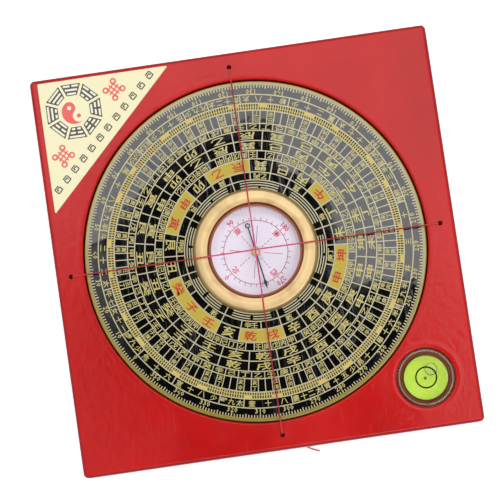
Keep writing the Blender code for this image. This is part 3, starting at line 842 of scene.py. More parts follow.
# The compass's own finishes
# The second colour darkens dust specks, and paints shade on the arrises and at the silhouette.
RED_LACQUER = Lacquer("red_lacquer_gloss", (0.61, 0.009, 0.009), (0.2, 0.009, 0.018), gloss=0.12,
                      half=BOARD_HALF, top=BOARD_TOP, round_size=BOARD_ROUND)
BACK_LACQUER = Lacquer("back_lacquer_satin", (0.4, 0.009, 0.01), (0.18, 0.008, 0.015), gloss=0.34,
                       half=PANEL_HALF, top=PANEL_TOP, round_size=0.0004)
BLACK_ENAMEL = BlackEnamel("black_enamel", (0.0025, 0.0023, 0.0022), gloss=0.015, index=1.75)
GOLD_INK = PrintInk("gold_ink", (0.56, 0.51, 0.3), (0.65, 0.61, 0.44), 0.18, shine=1.0)
SCRIPT_INK = PrintInk("script_ink", (0.58, 0.49, 0.13), (0.66, 0.57, 0.25), 0.2, shine=0.9)
GOLD_GROUND = PrintInk("gold_ground", (0.55, 0.41, 0.025), (0.6, 0.47, 0.05), 0.32, shine=0.4)
GILT_PAINT = PrintInk("gilt_paint", (0.34, 0.265, 0.027), (0.38, 0.315, 0.055), 0.15, shine=1.0,
                      varnish=1.0)
RED_INK = PrintInk("red_ink", (0.54, 0.025, 0.012), (0.6, 0.06, 0.012), 0.35, shine=0.3)
ORANGE_INK = PrintInk("orange_ink", (0.7, 0.52, 0.1), (0.76, 0.42, 0.07), 0.3)
BLACK_INK = PrintInk("black_ink", (0.008, 0.008, 0.006), (0.018, 0.017, 0.013), 0.45, shine=0.05)
GREY_INK = PrintInk("label_grey_ink", (0.07, 0.07, 0.06), (0.1, 0.1, 0.08), 0.4)
CREAM_INK = PrintInk("label_cream_ink", (0.97, 0.94, 0.74), (0.95, 0.92, 0.7), 0.4)
CORAL_INK = PrintInk("label_coral_ink", (0.92, 0.12, 0.11), (0.88, 0.15, 0.12), 0.4)
CARD_INK = PrintInk("card_red_ink", (0.68, 0.03, 0.07), (0.6, 0.07, 0.14), 0.45)
CARD_DARK_INK = PrintInk("card_dark_ink", (0.38, 0.05, 0.1), (0.36, 0.1, 0.17), 0.45)
# A painted highlight: the pale line where the vial's top edge catches the light.
VIAL_EDGE_HIGHLIGHT = PrintInk("vial_edge_painted_highlight", (0.46, 0.38, 0.25), (0.4, 0.33, 0.22), 0.35)
# The tarnish colour is also the bezel's painted shade.
SATIN_BRASS = BezelMetal("satin_brass_turned", (0.87, 0.65, 0.34), (0.48, 0.31, 0.14), 0.38,
                         marks=5200.0, patina=0.5)
INNER_BRASS = TurnedMetal("housing_brass", (0.78, 0.52, 0.24), (0.42, 0.2, 0.09), 0.42,
                          marks=4200.0, patina=0.7)
CAP_BRASS = TurnedMetal("cap_brass", (0.9, 0.62, 0.42), (0.8, 0.42, 0.22), 0.3,
                        marks=9000.0, patina=0.5, metallic=0.5)
DARK_STEEL = Steel("needle_steel", (0.05, 0.05, 0.06), (0.03, 0.035, 0.05), 0.35)
BRIGHT_STEEL = Steel("pin_steel", (0.6, 0.6, 0.62), (0.5, 0.46, 0.42), 0.2)
LENS_GLASS = Glass("lens_glass", (1.0, 1.0, 1.0), index=1.45, hairs=0.3)
ACRYLIC = Glass("vial_acrylic", (0.97, 0.99, 0.94), index=1.49, hairs=0.3)
LIQUID = Glass("level_liquid_green", (0.96, 1.0, 0.8), index=1.33, hairs=0.0)
CARD_PAPER = RayedPaper("card_paper", (0.91, 0.83, 0.95), (0.67, 0.61, 0.72), 0.5, ageing=0.3)
LABEL_PAPER = Paper("label_paper", (0.985, 0.925, 0.6), (0.975, 0.885, 0.54), 0.4, ageing=0.5)
# Painted shade over the dial, and painted light over the board, the bezel and the card.
RED_THREAD = Thread("red_thread", (0.36, 0.012, 0.02), (0.52, 0.035, 0.06), (0.74, 0.045, 0.045),
                    (0.78, 0.06, 0.24))
BLACK_WOOD = Wood("black_stained_wood", (0.012, 0.01, 0.009), (0.05, 0.035, 0.025), 0.5)
LINING_PAINT = Moulded("cup_lining_paint", (0.86, 0.83, 0.82), (0.78, 0.72, 0.68), 0.5)
GREEN_PLUG = Moulded("green_plug", (0.65, 0.81, 0.125), (0.71, 0.85, 0.16), 0.4)
GREEN_DOT = Moulded("plug_dot", (0.08, 0.12, 0.02), (0.14, 0.2, 0.03), 0.4)
RUBBER = Moulded("seal_rubber_black", (0.02, 0.02, 0.02), (0.04, 0.04, 0.04), 0.65)
AGATE = Moulded("agate", (0.55, 0.16, 0.06), (0.75, 0.42, 0.22), 0.1)
# Painted shade at the bubble's rim, painted light in its middle.
BUBBLE_AIR = AirBubble("bubble_air", (0.07, 0.12, 0.02), (0.95, 0.96, 0.8))


# Shaping
def mesh_of(shape: Shape, name: str) -> Mesh:
    """Turn a bmesh into a mesh.

    Args:
        shape: the bmesh; it is freed.
        name: the mesh's name.

    Returns:
        The mesh.
    """
    mesh = bpy.data.meshes.new(name)
    shape.to_mesh(mesh)
    shape.free()
    return mesh


def put(name: str, data: ID) -> Object:
    """Put a new object in the scene.

    Args:
        name: its name.
        data: its mesh, camera or lamp.

    Returns:
        The object.
    """
    made = bpy.data.objects.new(name, data)
    bpy.context.collection.objects.link(made)
    return made


def publish(shape: Shape, name: str, body: Body, finish: Finish,
            stands_for: Iterable[str] = (), even: bool = False) -> Object:
    """Turn a bmesh into a dressed piece of the object.

    Args:
        shape: the piece's shape, at its place; it is freed.
        name: the piece's name.
        body: the body that it rides on.
        finish: its finish.
        stands_for: the CAD nodes that it replaces.
        even: shade flat faces flat beside rounded edges.

    Returns:
        The piece.
    """
    bmesh.ops.remove_doubles(shape, verts=shape.verts, dist=MERGE_DISTANCE)
    bmesh.ops.recalc_face_normals(shape, faces=shape.faces)
    mesh = mesh_of(shape, name)
    mesh.shade_smooth()
    mesh.set_sharp_from_angle(angle=SHARP_ANGLE)
    mesh.materials.append(finish.material())
    piece = put(name, mesh)
    if even:
        piece.modifiers.new("even_shading", "WEIGHTED_NORMAL").keep_sharp = True
    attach(piece, body.value)
    if stands_for:
        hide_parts(*stands_for)
    LOG.info("%s on %s: %d faces", name, body.value, len(mesh.polygons))
    return piece


def arc(centre: Pair, size: float, start: float, end: float, steps: int = 6) -> list[Pair]:
    """Points of a rounded edge in a profile.

    Args:
        centre: the round's centre, as radius and height.
        size: the round's radius.
        start: where it starts, in degrees.
        end: where it ends, in degrees.
        steps: how many steps it has.

    Returns:
        The points, as radius and height.
    """
    angles = [radians(start + (end - start) * step / steps) for step in range(steps + 1)]
    return [(centre[0] + size * cos(angle), centre[1] + size * sin(angle)) for angle in angles]


def turned(profile: Points, steps: int, place: Vector = Vector()) -> Shape:
    """A closed body turned about an upright axis.

    Args:
        profile: its outline as radius and height; one that meets the axis at both ends stays open.
        steps: how many steps the full turn has.
        place: where the axis is.

    Returns:
        The body.
    """
    shape = bmesh.new()
    verts = [shape.verts.new((radius, 0.0, height)) for radius, height in profile]
    opened = profile[0][0] == 0 and profile[-1][0] == 0 or len(profile) == 2
    pairs = zip(verts, verts[1:] if opened else verts[1:] + verts[:1])
    edges = [shape.edges.new(pair) for pair in pairs]
    bmesh.ops.spin(shape, geom=verts + edges, cent=(0, 0, 0), axis=(0, 0, 1), dvec=(0, 0, 0),
                   angle=tau, steps=steps, use_merge=True)
    bmesh.ops.remove_doubles(shape, verts=shape.verts, dist=MERGE_DISTANCE)
    bmesh.ops.translate(shape, verts=shape.verts, vec=place)
    return shape


def raise_flat(shape: Shape, height: float) -> None:
    """Give a flat shape a thickness upwards.

    Args:
        shape: the shape.
        height: how far it is raised.
    """
    grown = bmesh.ops.extrude_face_region(shape, geom=shape.faces[:])
    raised = [item for item in grown["geom"] if isinstance(item, bmesh.types.BMVert)]
    bmesh.ops.translate(shape, verts=raised, vec=(0, 0, height))


def prism(outline: Points, bottom: float, height: float) -> Shape:
    """A body raised from a flat outline.

    Args:
        outline: its corners.
        bottom: the height of its lower face.
        height: its own height.

    Returns:
        The body.
    """
    shape = bmesh.new()
    shape.faces.new([shape.verts.new((x, y, bottom)) for x, y in outline])
    raise_flat(shape, height)
    return shape


def rounded_outline(corners: Points, size: float, steps: int = 6) -> list[Pair]:
    """A polygon's outline with its corners rounded.

    Args:
        corners: the polygon's corners, anticlockwise.
        size: the rounds' radius.
        steps: how many steps each round has.

    Returns:
        The outline's points.
    """
    outline = []
    count = len(corners)
    for index in range(count):
        here = Vector(corners[index])
        back = (Vector(corners[index - 1]) - here).normalized()
        ahead = (Vector(corners[(index + 1) % count]) - here).normalized()
        half_angle = back.angle(ahead) / 2
        centre = here + (back + ahead).normalized() * size / sin(half_angle)
        first = (here + back * size / tan(half_angle)) - centre
        sweep = pi - 2 * half_angle
        for step in range(steps + 1):
            outline.append(tuple(centre + Matrix.Rotation(sweep * step / steps, 2) @ first))
    return outline


def square(half: float, corner: float) -> list[Pair]:
    """The outline of a square with round corners."""
    return rounded_outline(((half, half), (-half, half), (-half, -half), (half, -half)), corner)


def round_edges(shape: Shape, height: float, size: float, steps: int) -> None:
    """Round the edges of a body that lie at one height.

    Args:
        shape: the body.
        height: the edges' height.
        size: how far they are rounded.
        steps: how many steps the round has.
    """
    rim = [edge for edge in shape.edges
           if all(abs(vert.co.z - height) < MERGE_DISTANCE for vert in edge.verts)]
    bmesh.ops.bevel(shape, geom=rim, offset=size, segments=steps, profile=0.5, affect="EDGES",
                    material=-1)


def bore(radius: float, bottom: float, top: float, flare: float = 0.0, steps: int = 48,
         place: Vector = Vector()) -> Shape:
    """A cutter for a round hole.

    Args:
        radius: the hole's radius.
        bottom: where it starts.
        top: the face that it opens in.
        flare: how far its upper edge is rounded over.
        steps: how many steps the full turn has.
        place: where its axis is.

    Returns:
        The cutter.
    """
    lip = arc((radius + flare, top - flare), flare, 180, 90) if flare else [(radius, top)]
    above = top + OVERRUN
    return turned([(0, bottom), (radius, bottom), *lip, (radius + flare, above), (0, above)],
                  steps, place)


def carve(body: Shape, cutters: Iterable[Shape]) -> Shape:
    """Cut bodies out of a body.

    Args:
        body: what is cut; it is freed.
        cutters: what is cut out of it; they are freed.

    Returns:
        What is left.
    """
    solids = []
    for shape in (body, *cutters):
        bmesh.ops.recalc_face_normals(shape, faces=shape.faces)
        solids.append(put("carving", mesh_of(shape, "carving")))
    for cutter in solids[1:]:
        modifier = solids[0].modifiers.new("cut", "BOOLEAN")
        modifier.operation = "DIFFERENCE"
        modifier.object = cutter
    graph = bpy.context.evaluated_depsgraph_get()
    result = bpy.data.meshes.new_from_object(solids[0].evaluated_get(graph))
    left = bmesh.new()
    left.from_mesh(result)
    for mesh in (result, *(solid.data for solid in solids)):
        bpy.data.meshes.remove(mesh)
    return left


def evenly(route: Sequence[Vector], step: float) -> list[Vector]:
    """Evenly spaced points on a route of straight runs.

    Args:
        route: the route's points.
        step: about how far apart the new points are.

    Returns:
        The points.
    """
    along = [0.0]
    for here, there in zip(route, route[1:]):
        along.append(along[-1] + (there - here).length)
    count = max(2, round(along[-1] / step) + 1)
    even = []
    index = 0
    for number in range(count):
        wanted = along[-1] * number / (count - 1)
        while index < len(route) - 2 and along[index + 1] < wanted:
            index += 1
        share = (wanted - along[index]) / (along[index + 1] - along[index])
        even.append(route[index].lerp(route[index + 1], share))
    return even


def length_of(route: Sequence[Vector]) -> float:
    """A route's length."""
    return sum((there - here).length for here, there in zip(route, route[1:]))


def smooth_route(points: Sequence[Vector], count: int) -> list[Vector]:
    """Evenly spaced points on a smooth curve through a list of points.

    Args:
        points: the points that it passes.
        count: how many points it gets.

    Returns:
        The curve's points.
    """
    ends = [2 * points[0] - points[1], *points, 2 * points[-1] - points[-2]]
    fine = []
    for before, here, there, after in zip(ends, ends[1:], ends[2:], ends[3:]):
        for step in range(count):
            share = step / count
            fine.append(0.5 * (2 * here + (there - before) * share
                               + (2 * before - 5 * here + 4 * there - after) * share ** 2
                               + (3 * here - before - 3 * there + after) * share ** 3))
    fine.append(points[-1])
    return evenly(fine, length_of(fine) / (count - 1))


# Print
GLYPH_WEIGHT = 0.018
GLYPH_MERGE = 0.0005
GLYPH_FLAT_ANGLE = 0.01


@cache
def glyph(text: str) -> Mesh:
    """A character of unit size, one unit thick, about its middle; it is drawn once.

    Args:
        text: the character.

    Returns:
        Its mesh.
    """
    writing = bpy.data.curves.new("writing", "FONT")
    writing.body = text
    writing.resolution_u = 1
    writing.offset = GLYPH_WEIGHT
    holder = bpy.data.objects.new("writing", writing)
    shape = bmesh.new()
    shape.from_mesh(bpy.data.meshes.new_from_object(holder))
    bmesh.ops.remove_doubles(shape, verts=shape.verts, dist=GLYPH_MERGE)
    bmesh.ops.dissolve_limit(shape, angle_limit=GLYPH_FLAT_ANGLE, verts=shape.verts, edges=shape.edges)
    low, high = (Vector([pick(vert.co[axis] for vert in shape.verts) for axis in range(3)])
                 for pick in (min, max))
    bmesh.ops.translate(shape, verts=shape.verts, vec=-(low + high) / 2)
    raise_flat(shape, 1)
    bmesh.ops.recalc_face_normals(shape, faces=shape.faces)
    bpy.data.objects.remove(holder)
    return mesh_of(shape, "glyph")


@dataclass
class Ink:
    """Thin closed shapes of one ink, printed on a flat face."""

    bottom: float
    thickness: float
    centre: Vector = field(default_factory=Vector)
    shapes: Shape = field(default_factory=bmesh.new)

    def add(self, mesh: Mesh, matrix: Matrix) -> None:
        """Add a mesh, which is removed, at a place."""
        mesh.transform(matrix)
        self.shapes.from_mesh(mesh)
        bpy.data.meshes.remove(mesh)

    def bar(self, place: Vector, length: float, width: float, turn: float, share: float = 1.0) -> None:
        """Add a straight bar.

        Args:
            place: its middle.
            length: its length.
            width: its width.
            turn: how far its length is turned from X.
            share: the share of the ink's thickness that it has.
        """
        at = Matrix.Translation((place.x, place.y, self.bottom + self.thickness * share / 2))
        size = Matrix.Diagonal((length, width, self.thickness * share, 1.0))
        bmesh.ops.create_cube(self.shapes, size=1.0, matrix=at @ Matrix.Rotation(turn, 4, "Z") @ size)

    def band(self, inner: float, outer: float, start: float = 0.0, end: float = FULL_TURN,
             step: float = 1.5, centre: Vector | None = None, share: float = 1.0) -> None:
        """Add a ring or a part of one.

        Args:
            inner: its inner radius.
            outer: its outer radius.
            start: the bearing that it starts at, clockwise from +Y in degrees.
            end: the bearing that it ends at.
            step: the degrees that a face spans.
            centre: its middle, or None for the print's own.
            share: the share of the ink's thickness that it has.
        """
        high = self.bottom + self.thickness * share
        whole = end - start >= FULL_TURN
        shape = bmesh.new()
        verts = [shape.verts.new((radius, 0, height)) for radius, height in
                 ((inner, self.bottom), (outer, self.bottom), (outer, high), (inner, high))]
        face = shape.faces.new(verts)
        geometry = verts + shape.edges[:]
        if whole:
            bmesh.ops.delete(shape, geom=[face], context="FACES_ONLY")
        else:
            geometry.append(face)
        steps = max(2, ceil((end - start) / step))
        bmesh.ops.spin(shape, geom=geometry, cent=(0, 0, 0), axis=(0, 0, 1), dvec=(0, 0, 0),
                       angle=-radians(end - start), steps=steps, use_merge=whole)
        at = Matrix.Translation(self.centre if centre is None else centre)
        self.add(mesh_of(shape, "band"), at @ Matrix.Rotation(radians(90.0 - start), 4, "Z"))

    def ring(self, radius: float, width: float, *span: float, step: float = 1.5,
             share: float = 1.0) -> None:
        """Add a line round the middle, whole or over a span of bearings."""
        self.band(radius - width / 2, radius + width / 2, *span, step=step, share=share)

    def dot(self, radius: float, step: float, centre: Vector | None = None) -> None:
        """Add a round dot."""
        self.band(0.0, radius, step=step, centre=centre)

    def at(self, radius: float, bearing: float) -> Vector:
        """The place at a radius and a bearing, clockwise from +Y in degrees."""
        angle = radians(bearing)
        return self.centre + Vector((radius * sin(angle), radius * cos(angle), 0.0))

    def spoke(self, inner: float, outer: float, bearing: float, width: float) -> None:
        """Add a radial line."""
        self.bar(self.at((inner + outer) / 2, bearing), outer - inner, width, radians(90.0 - bearing))

    def write(self, text: str, radius: float, bearing: float, size: Pair, outward: bool = False) -> None:
        """Write a character.

        Args:
            text: the character.
            radius: how far from the middle it is.
            bearing: its bearing.
            size: how far it is scaled along its width and height.
            outward: whether its top points outward, and not to the middle.
        """
        place = self.at(radius, bearing)
        turn = (0.0 if outward else pi) - radians(bearing)
        at = Matrix.Translation((place.x, place.y, self.bottom))
        self.add(glyph(text).copy(), at @ Matrix.Rotation(turn, 4, "Z")
                 @ Matrix.Diagonal((*size, self.thickness, 1.0)))


MOUNTAINS = "子癸丑艮寅甲卯乙辰巽巳丙午丁未坤申庚酉辛戌乾亥壬"
BRANCHES = "子丑寅卯辰巳午未申酉戌亥"
STEMS = ("甲丙戊庚壬", "乙丁己辛癸")
GOLD_MOUNTAINS = "壬子癸寅甲乙辰午坤申戌乾"
SPRINGS = {"壬": "乾", "癸": "艮", "甲": "艮", "乙": "巽", "丙": "巽", "丁": "坤", "庚": "坤",
           "辛": "乾", "艮": "甲癸", "巽": "乙丙", "坤": "庚丁", "乾": "辛壬"}
TRIGRAMS = ("000", "100", "101", "110", "111", "011", "010", "001")
LODGES = (
    ("虛", "九少", 9.2), ("女", "十一", 11.0), ("牛", "七", 6.7), ("斗", "二十二太", 22.3),
    ("箕", "九半", 9.3), ("尾", "十八", 17.7), ("心", "六少", 6.0), ("房", "五太", 5.5),
    ("氐", "十六少", 16.0), ("亢", "九少", 9.5), ("角", "十二太", 12.5), ("軫", "十八太", 18.5),
    ("翼", "二十少", 19.8), ("張", "十七太", 17.5), ("星", "六太", 6.2), ("柳", "十三半", 13.5),
    ("鬼", "", 2.0), ("井", "三十", 30.2), ("參", "九半", 9.3), ("", "半", 1.3),
    ("畢", "十六半", 15.4), ("昴", "十一", 11.1), ("胃", "十五少", 15.2), ("婁", "十二太", 12.2),
    ("奎", "十八", 18.1), ("壁", "九太", 9.2), ("室", "十八少", 18.5), ("危", "十六", 16.3),
)


# The sub-assemblies
@dataclass
class Dial:
    """The turning dial: plate, wooden disc, and the print's rings, from the edge inwards."""

    edge: float = 0.0515
    edge_round: float = 0.00035
    bore: float = 0.0157
    disc_edge: float = 0.0513
    disc_round: float = 0.0005
    plate_steps: int = 360
    disc_steps: int = 240
    rim_inner: float = 0.0503
    rim_foot: float = 0.0001
    tick_one: float = 0.0495
    tick_five: float = 0.0492
    numbers: float = 0.0483
    number_size: Pair = (0.002, 0.0021)
    number_pitch: float = 1.32
    lodges_outer: float = 0.0474
    lodge_size: Pair = (0.0021, 0.002)
    lodge_width_per_degree: float = 0.0008
    degrees_outer: float = 0.0447
    band_inset: float = 0.0001
    band_share: float = 0.4
    days: int = 365
    tick_length: float = 0.00092
    tick_gap: float = 0.00012
    tick_width: float = 0.00038
    dot_end: float = 0.00076
    dot_width: float = 0.00037
    block_count: int = 60
    block_spans: tuple[float, ...] = (4.2, 1.8, 3.2, 1.6, 2.6)
    long_block: float = 3.0
    cells_outer: float = 0.0426
    cell_size: Pair = (0.00155, 0.0016)
    cell_inset: float = 0.0011
    cell_span: float = 3.0
    sixty_outer: float = 0.0386
    sixty_size: Pair = (0.0027, 0.0017)
    sixty_span: float = 6.0
    outer_mountains: float = 0.03645
    inner_mountains: float = 0.03335
    mountain_size: Pair = (0.0047, 0.0024)
    mountain_span: float = 15.0
    seventy_outer: float = 0.0303
    seventy_size: Pair = (0.002, 0.002)
    seventy_span: float = 5.0
    main_outer: float = 0.0278
    main_red_size: Pair = (0.0039, 0.003)
    main_gold_size: Pair = (0.004, 0.0033)
    springs_outer: float = 0.0238
    spring_size: Pair = (0.0022, 0.0019)
    spring_pitch: float = 5.0
    trigrams_outer: float = 0.0214
    trigram_reach: float = 16.7
    trigram_gap_share: float = 0.07
    bar_pitch: float = 0.00075
    bar_circle: float = 0.01885
    bar_circle_width: float = 0.0001
    line: float = 0.00033
    fine_line: float = 0.00029
    ink_depth: float = 0.00003
    ground_share: float = 0.6
    gilt_share: float = 0.7
    circle_share: float = 0.85
    orange_share: float = 1.2
    script_share: float = 1.5

    def __post_init__(self) -> None:
        """Open the inks, each a little higher than the one that it overprints."""
        over = PLATE_TOP + self.ink_depth / 2
        self.ground = Ink(PLATE_TOP, self.ink_depth * self.ground_share)
        self.gold = Ink(PLATE_TOP, self.ink_depth)
        self.script = Ink(PLATE_TOP, self.ink_depth * self.script_share)
        self.red = Ink(over, self.ink_depth)
        self.orange = Ink(over, self.ink_depth * self.orange_share)
        self.black = Ink(over, self.ink_depth)

    def build(self) -> None:
        """Build the plate, the disc and the whole print."""
        self.plate()
        self.gilt_edge()
        self.disc()
        self.scale()
        self.lodge_ring()
        self.degree_band()
        self.cell_rings()
        self.mountain_rings()
        self.main_ring()
        self.trigram_ring()
        self.rings()
        for ink, name, finish in (
                (self.ground, "dial_gold_grounds", GOLD_GROUND),
                (self.gold, "dial_gold_lines", GOLD_INK),
                (self.script, "dial_gold_characters", SCRIPT_INK),
                (self.red, "dial_red_characters", RED_INK),
                (self.orange, "dial_orange_marks", ORANGE_INK),
                (self.black, "dial_black_marks", BLACK_INK)):
            publish(ink.shapes, name, Body.DIAL, finish)

    def plate(self) -> None:
        """The enamelled plate, its edge rounded."""
        low, top, size = heights("dial_plate")[0], PLATE_TOP, self.edge_round
        profile = [(self.bore, low), (self.edge, low), *arc((self.edge - size, top - size), size, 0, 90),
                   (self.edge - 2 * size, top), (self.bore, top)]
        publish(turned(profile, self.plate_steps), "enamelled_plate", Body.DIAL,
                BLACK_ENAMEL, ["dial_plate"])

    def gilt_edge(self) -> None:
        """The gold rim, laid round the plate's edge."""
        low, size = heights("dial_plate")[0] + self.rim_foot, self.edge_round
        depth = self.ink_depth * self.gilt_share
        centre = (self.edge - size, PLATE_TOP - size)
        profile = [(self.rim_inner, PLATE_TOP), (self.rim_inner, PLATE_TOP + depth),
                   (self.edge - 1.5 * size, PLATE_TOP + depth), *arc(centre, size + depth, 90, 0),
                   (self.edge + depth, low), (self.edge, low), *arc(centre, size, 0, 90)]
        publish(turned(profile, self.plate_steps), "gilt_edge", Body.DIAL, GILT_PAINT)

    def disc(self) -> None:
        """The wooden disc under the plate, stepped for the compass."""
        low, high = heights("dial_disc")
        ledge = heights("compass_housing")[0] - CLEARANCE
        size = self.disc_round
        profile = [(FINGER_HOLE, ledge), *arc((FINGER_HOLE + size, low + size), size, 180, 270),
                   *arc((self.disc_edge - size, low + size), size, 270, 360),
                   (self.disc_edge, high), (self.bore, high), (self.bore, ledge)]
        publish(turned(profile, self.disc_steps), "wooden_disc", Body.DIAL, BLACK_WOOD,
                ["dial_disc"])

    def bearing(self, degree: float) -> float:
        """The bearing of a degree of the dial."""
        return DIAL_BEARING + degree

    def rings(self) -> None:
        """The circles between the rings."""
        for radius in (self.lodges_outer, self.degrees_outer, self.cells_outer, self.sixty_outer,
                       self.outer_mountains, self.inner_mountains, self.seventy_outer,
                       self.main_outer, self.springs_outer, self.trigrams_outer):
            self.gold.ring(radius, self.line, share=self.circle_share)

    def scale(self) -> None:
        """The marks of 360 degrees at the edge, with a number every ten."""
        for degree in range(360):
            inner = self.tick_one if degree % 5 else self.tick_five
            self.gold.spoke(inner, self.rim_inner, self.bearing(degree), self.line)
        for degree in range(0, 360, 10):
            digits = str(degree)
            for place, digit in enumerate(digits):
                shift = (len(digits) - 1) / 2 - place
                self.script.write(digit, self.numbers, self.bearing(degree + shift * self.number_pitch),
                                  self.number_size)

    def lodge_ring(self) -> None:
        """The ring of the 28 lodges with their widths."""
        start = 0.0
        middle = (self.lodges_outer + self.degrees_outer) / 2
        widest, height = self.lodge_size
        for name, words, width in LODGES:
            self.gold.spoke(self.degrees_outer, self.lodges_outer, self.bearing(start), self.line)
            text = name + words
            size = (min(widest, self.lodge_width_per_degree * width / len(text)), height)
            for place, character in enumerate(text):
                share = (place + 0.5) / len(text)
                self.script.write(character, middle, self.bearing(start + width * (1 - share)), size)
            start += width

    def degree_band(self) -> None:
        """The gold band of the days of a year, with black ticks and dots and orange marks."""
        inner, outer = self.cells_outer + self.band_inset, self.degrees_outer - self.band_inset
        root = outer - self.tick_length
        self.script.band(inner, outer, share=self.band_share)
        for day in range(self.days):
            turn = self.bearing(day * FULL_TURN / self.days)
            self.black.spoke(root, outer - self.tick_gap, turn, self.tick_width)
            self.black.spoke(inner + self.tick_gap, inner + self.dot_end, turn, self.dot_width)
        for place in range(self.block_count):
            span = self.block_spans[place % len(self.block_spans)]
            long = (root, outer, 1.0)
            low, high, share = long if span > self.long_block else (inner, root, self.band_share)
            start = place * self.sixty_span + 1
            self.orange.band(low, high, self.bearing(start), self.bearing(start + span), share=share)

    def cell(self, inner: float, outer: float, start: float) -> None:
        """Draw the line at the start of a cell."""
        self.gold.spoke(inner, outer, self.bearing(start), self.fine_line)

    def cell_rings(self) -> None:
        """The rings of 120, 60 and 72 cells."""
        half = self.mountain_span / 2
        for mountain in range(len(MOUNTAINS)):
            branch = (mountain + 1) // 2 % 12
            for place in range(5):
                start = mountain * self.mountain_span - half + place * self.cell_span
                self.cell(self.sixty_outer, self.cells_outer, start)
                if place in (1, 3):
                    turn = self.bearing(start + self.cell_span / 2)
                    self.script.write(STEMS[branch % 2][place], self.cells_outer - self.cell_inset, turn,
                                      self.cell_size)
                    self.script.write(BRANCHES[branch], self.sixty_outer + self.cell_inset, turn,
                                      self.cell_size)
        branch_span = 2 * self.mountain_span
        first_seventy = -2.5 * self.seventy_span
        for branch in range(len(BRANCHES)):
            middle = branch * branch_span
            for place, stem in enumerate(STEMS[branch % 2]):
                for inner, outer, first, span, size in (
                        (self.outer_mountains, self.sixty_outer, -3 * half, self.sixty_span,
                         self.sixty_size),
                        (self.main_outer, self.seventy_outer, first_seventy, self.seventy_span,
                         self.seventy_size)):
                    start = middle + first + place * span
                    self.cell(inner, outer, start)
                    self.script.write(stem, (inner + outer) / 2, self.bearing(start + span / 2), size)
            self.cell(self.main_outer, self.seventy_outer, middle - first_seventy)

    def mountain_rings(self) -> None:
        """The two outer rings of 24 mountains, half a sector ahead and half a sector behind."""
        half = self.mountain_span / 2
        for place, name in enumerate(MOUNTAINS):
            centre = place * self.mountain_span
            for shift, outer, inner in ((half, self.outer_mountains, self.inner_mountains),
                                        (-half, self.inner_mountains, self.seventy_outer)):
                self.gold.spoke(inner, outer, self.bearing(centre), self.line)
                self.script.write(name, (outer + inner) / 2, self.bearing(centre + shift),
                                  self.mountain_size)

    def main_ring(self) -> None:
        """The main ring of 24 mountains and the ring of the eight springs inside it."""
        middle = (self.main_outer + self.springs_outer) / 2
        inner_middle = (self.springs_outer + self.trigrams_outer) / 2
        for place, name in enumerate(MOUNTAINS):
            centre = place * self.mountain_span
            start = self.bearing(centre - self.mountain_span / 2)
            both = name in GOLD_MOUNTAINS and MOUNTAINS[place - 1] in GOLD_MOUNTAINS
            self.gold.spoke(self.trigrams_outer, self.springs_outer if both else self.main_outer,
                            start, self.line)
            if name in GOLD_MOUNTAINS:
                self.ground.band(self.springs_outer, self.main_outer, start, start + self.mountain_span)
                self.red.write(name, middle, self.bearing(centre), self.main_red_size)
            else:
                self.script.write(name, middle, self.bearing(centre), self.main_gold_size)
            text = SPRINGS.get(name, "")
            for index, character in enumerate(text):
                shift = ((len(text) - 1) / 2 - index) * self.spring_pitch
                self.script.write(character, inner_middle, self.bearing(centre + shift), self.spring_size)

    def trigram_ring(self) -> None:
        """The ring of the eight trigrams next to the compass."""
        gap = self.trigram_gap_share
        for place, lines in enumerate(TRIGRAMS):
            centre = self.bearing(place * EIGHTH_TURN)
            self.gold.spoke(self.bar_circle, self.trigrams_outer, centre + EIGHTH_TURN / 2, self.line)
            for index, line in enumerate(lines):
                radius = self.trigrams_outer - (index + 1) * self.bar_pitch
                for low, high in ((-1, 1),) if line == "1" else ((-1, -gap), (gap, 1)):
                    self.gold.ring(radius, self.line, centre + low * self.trigram_reach,
                                   centre + high * self.trigram_reach, share=self.circle_share)
        self.ground.band(self.bar_circle, self.bar_circle + self.bar_circle_width)


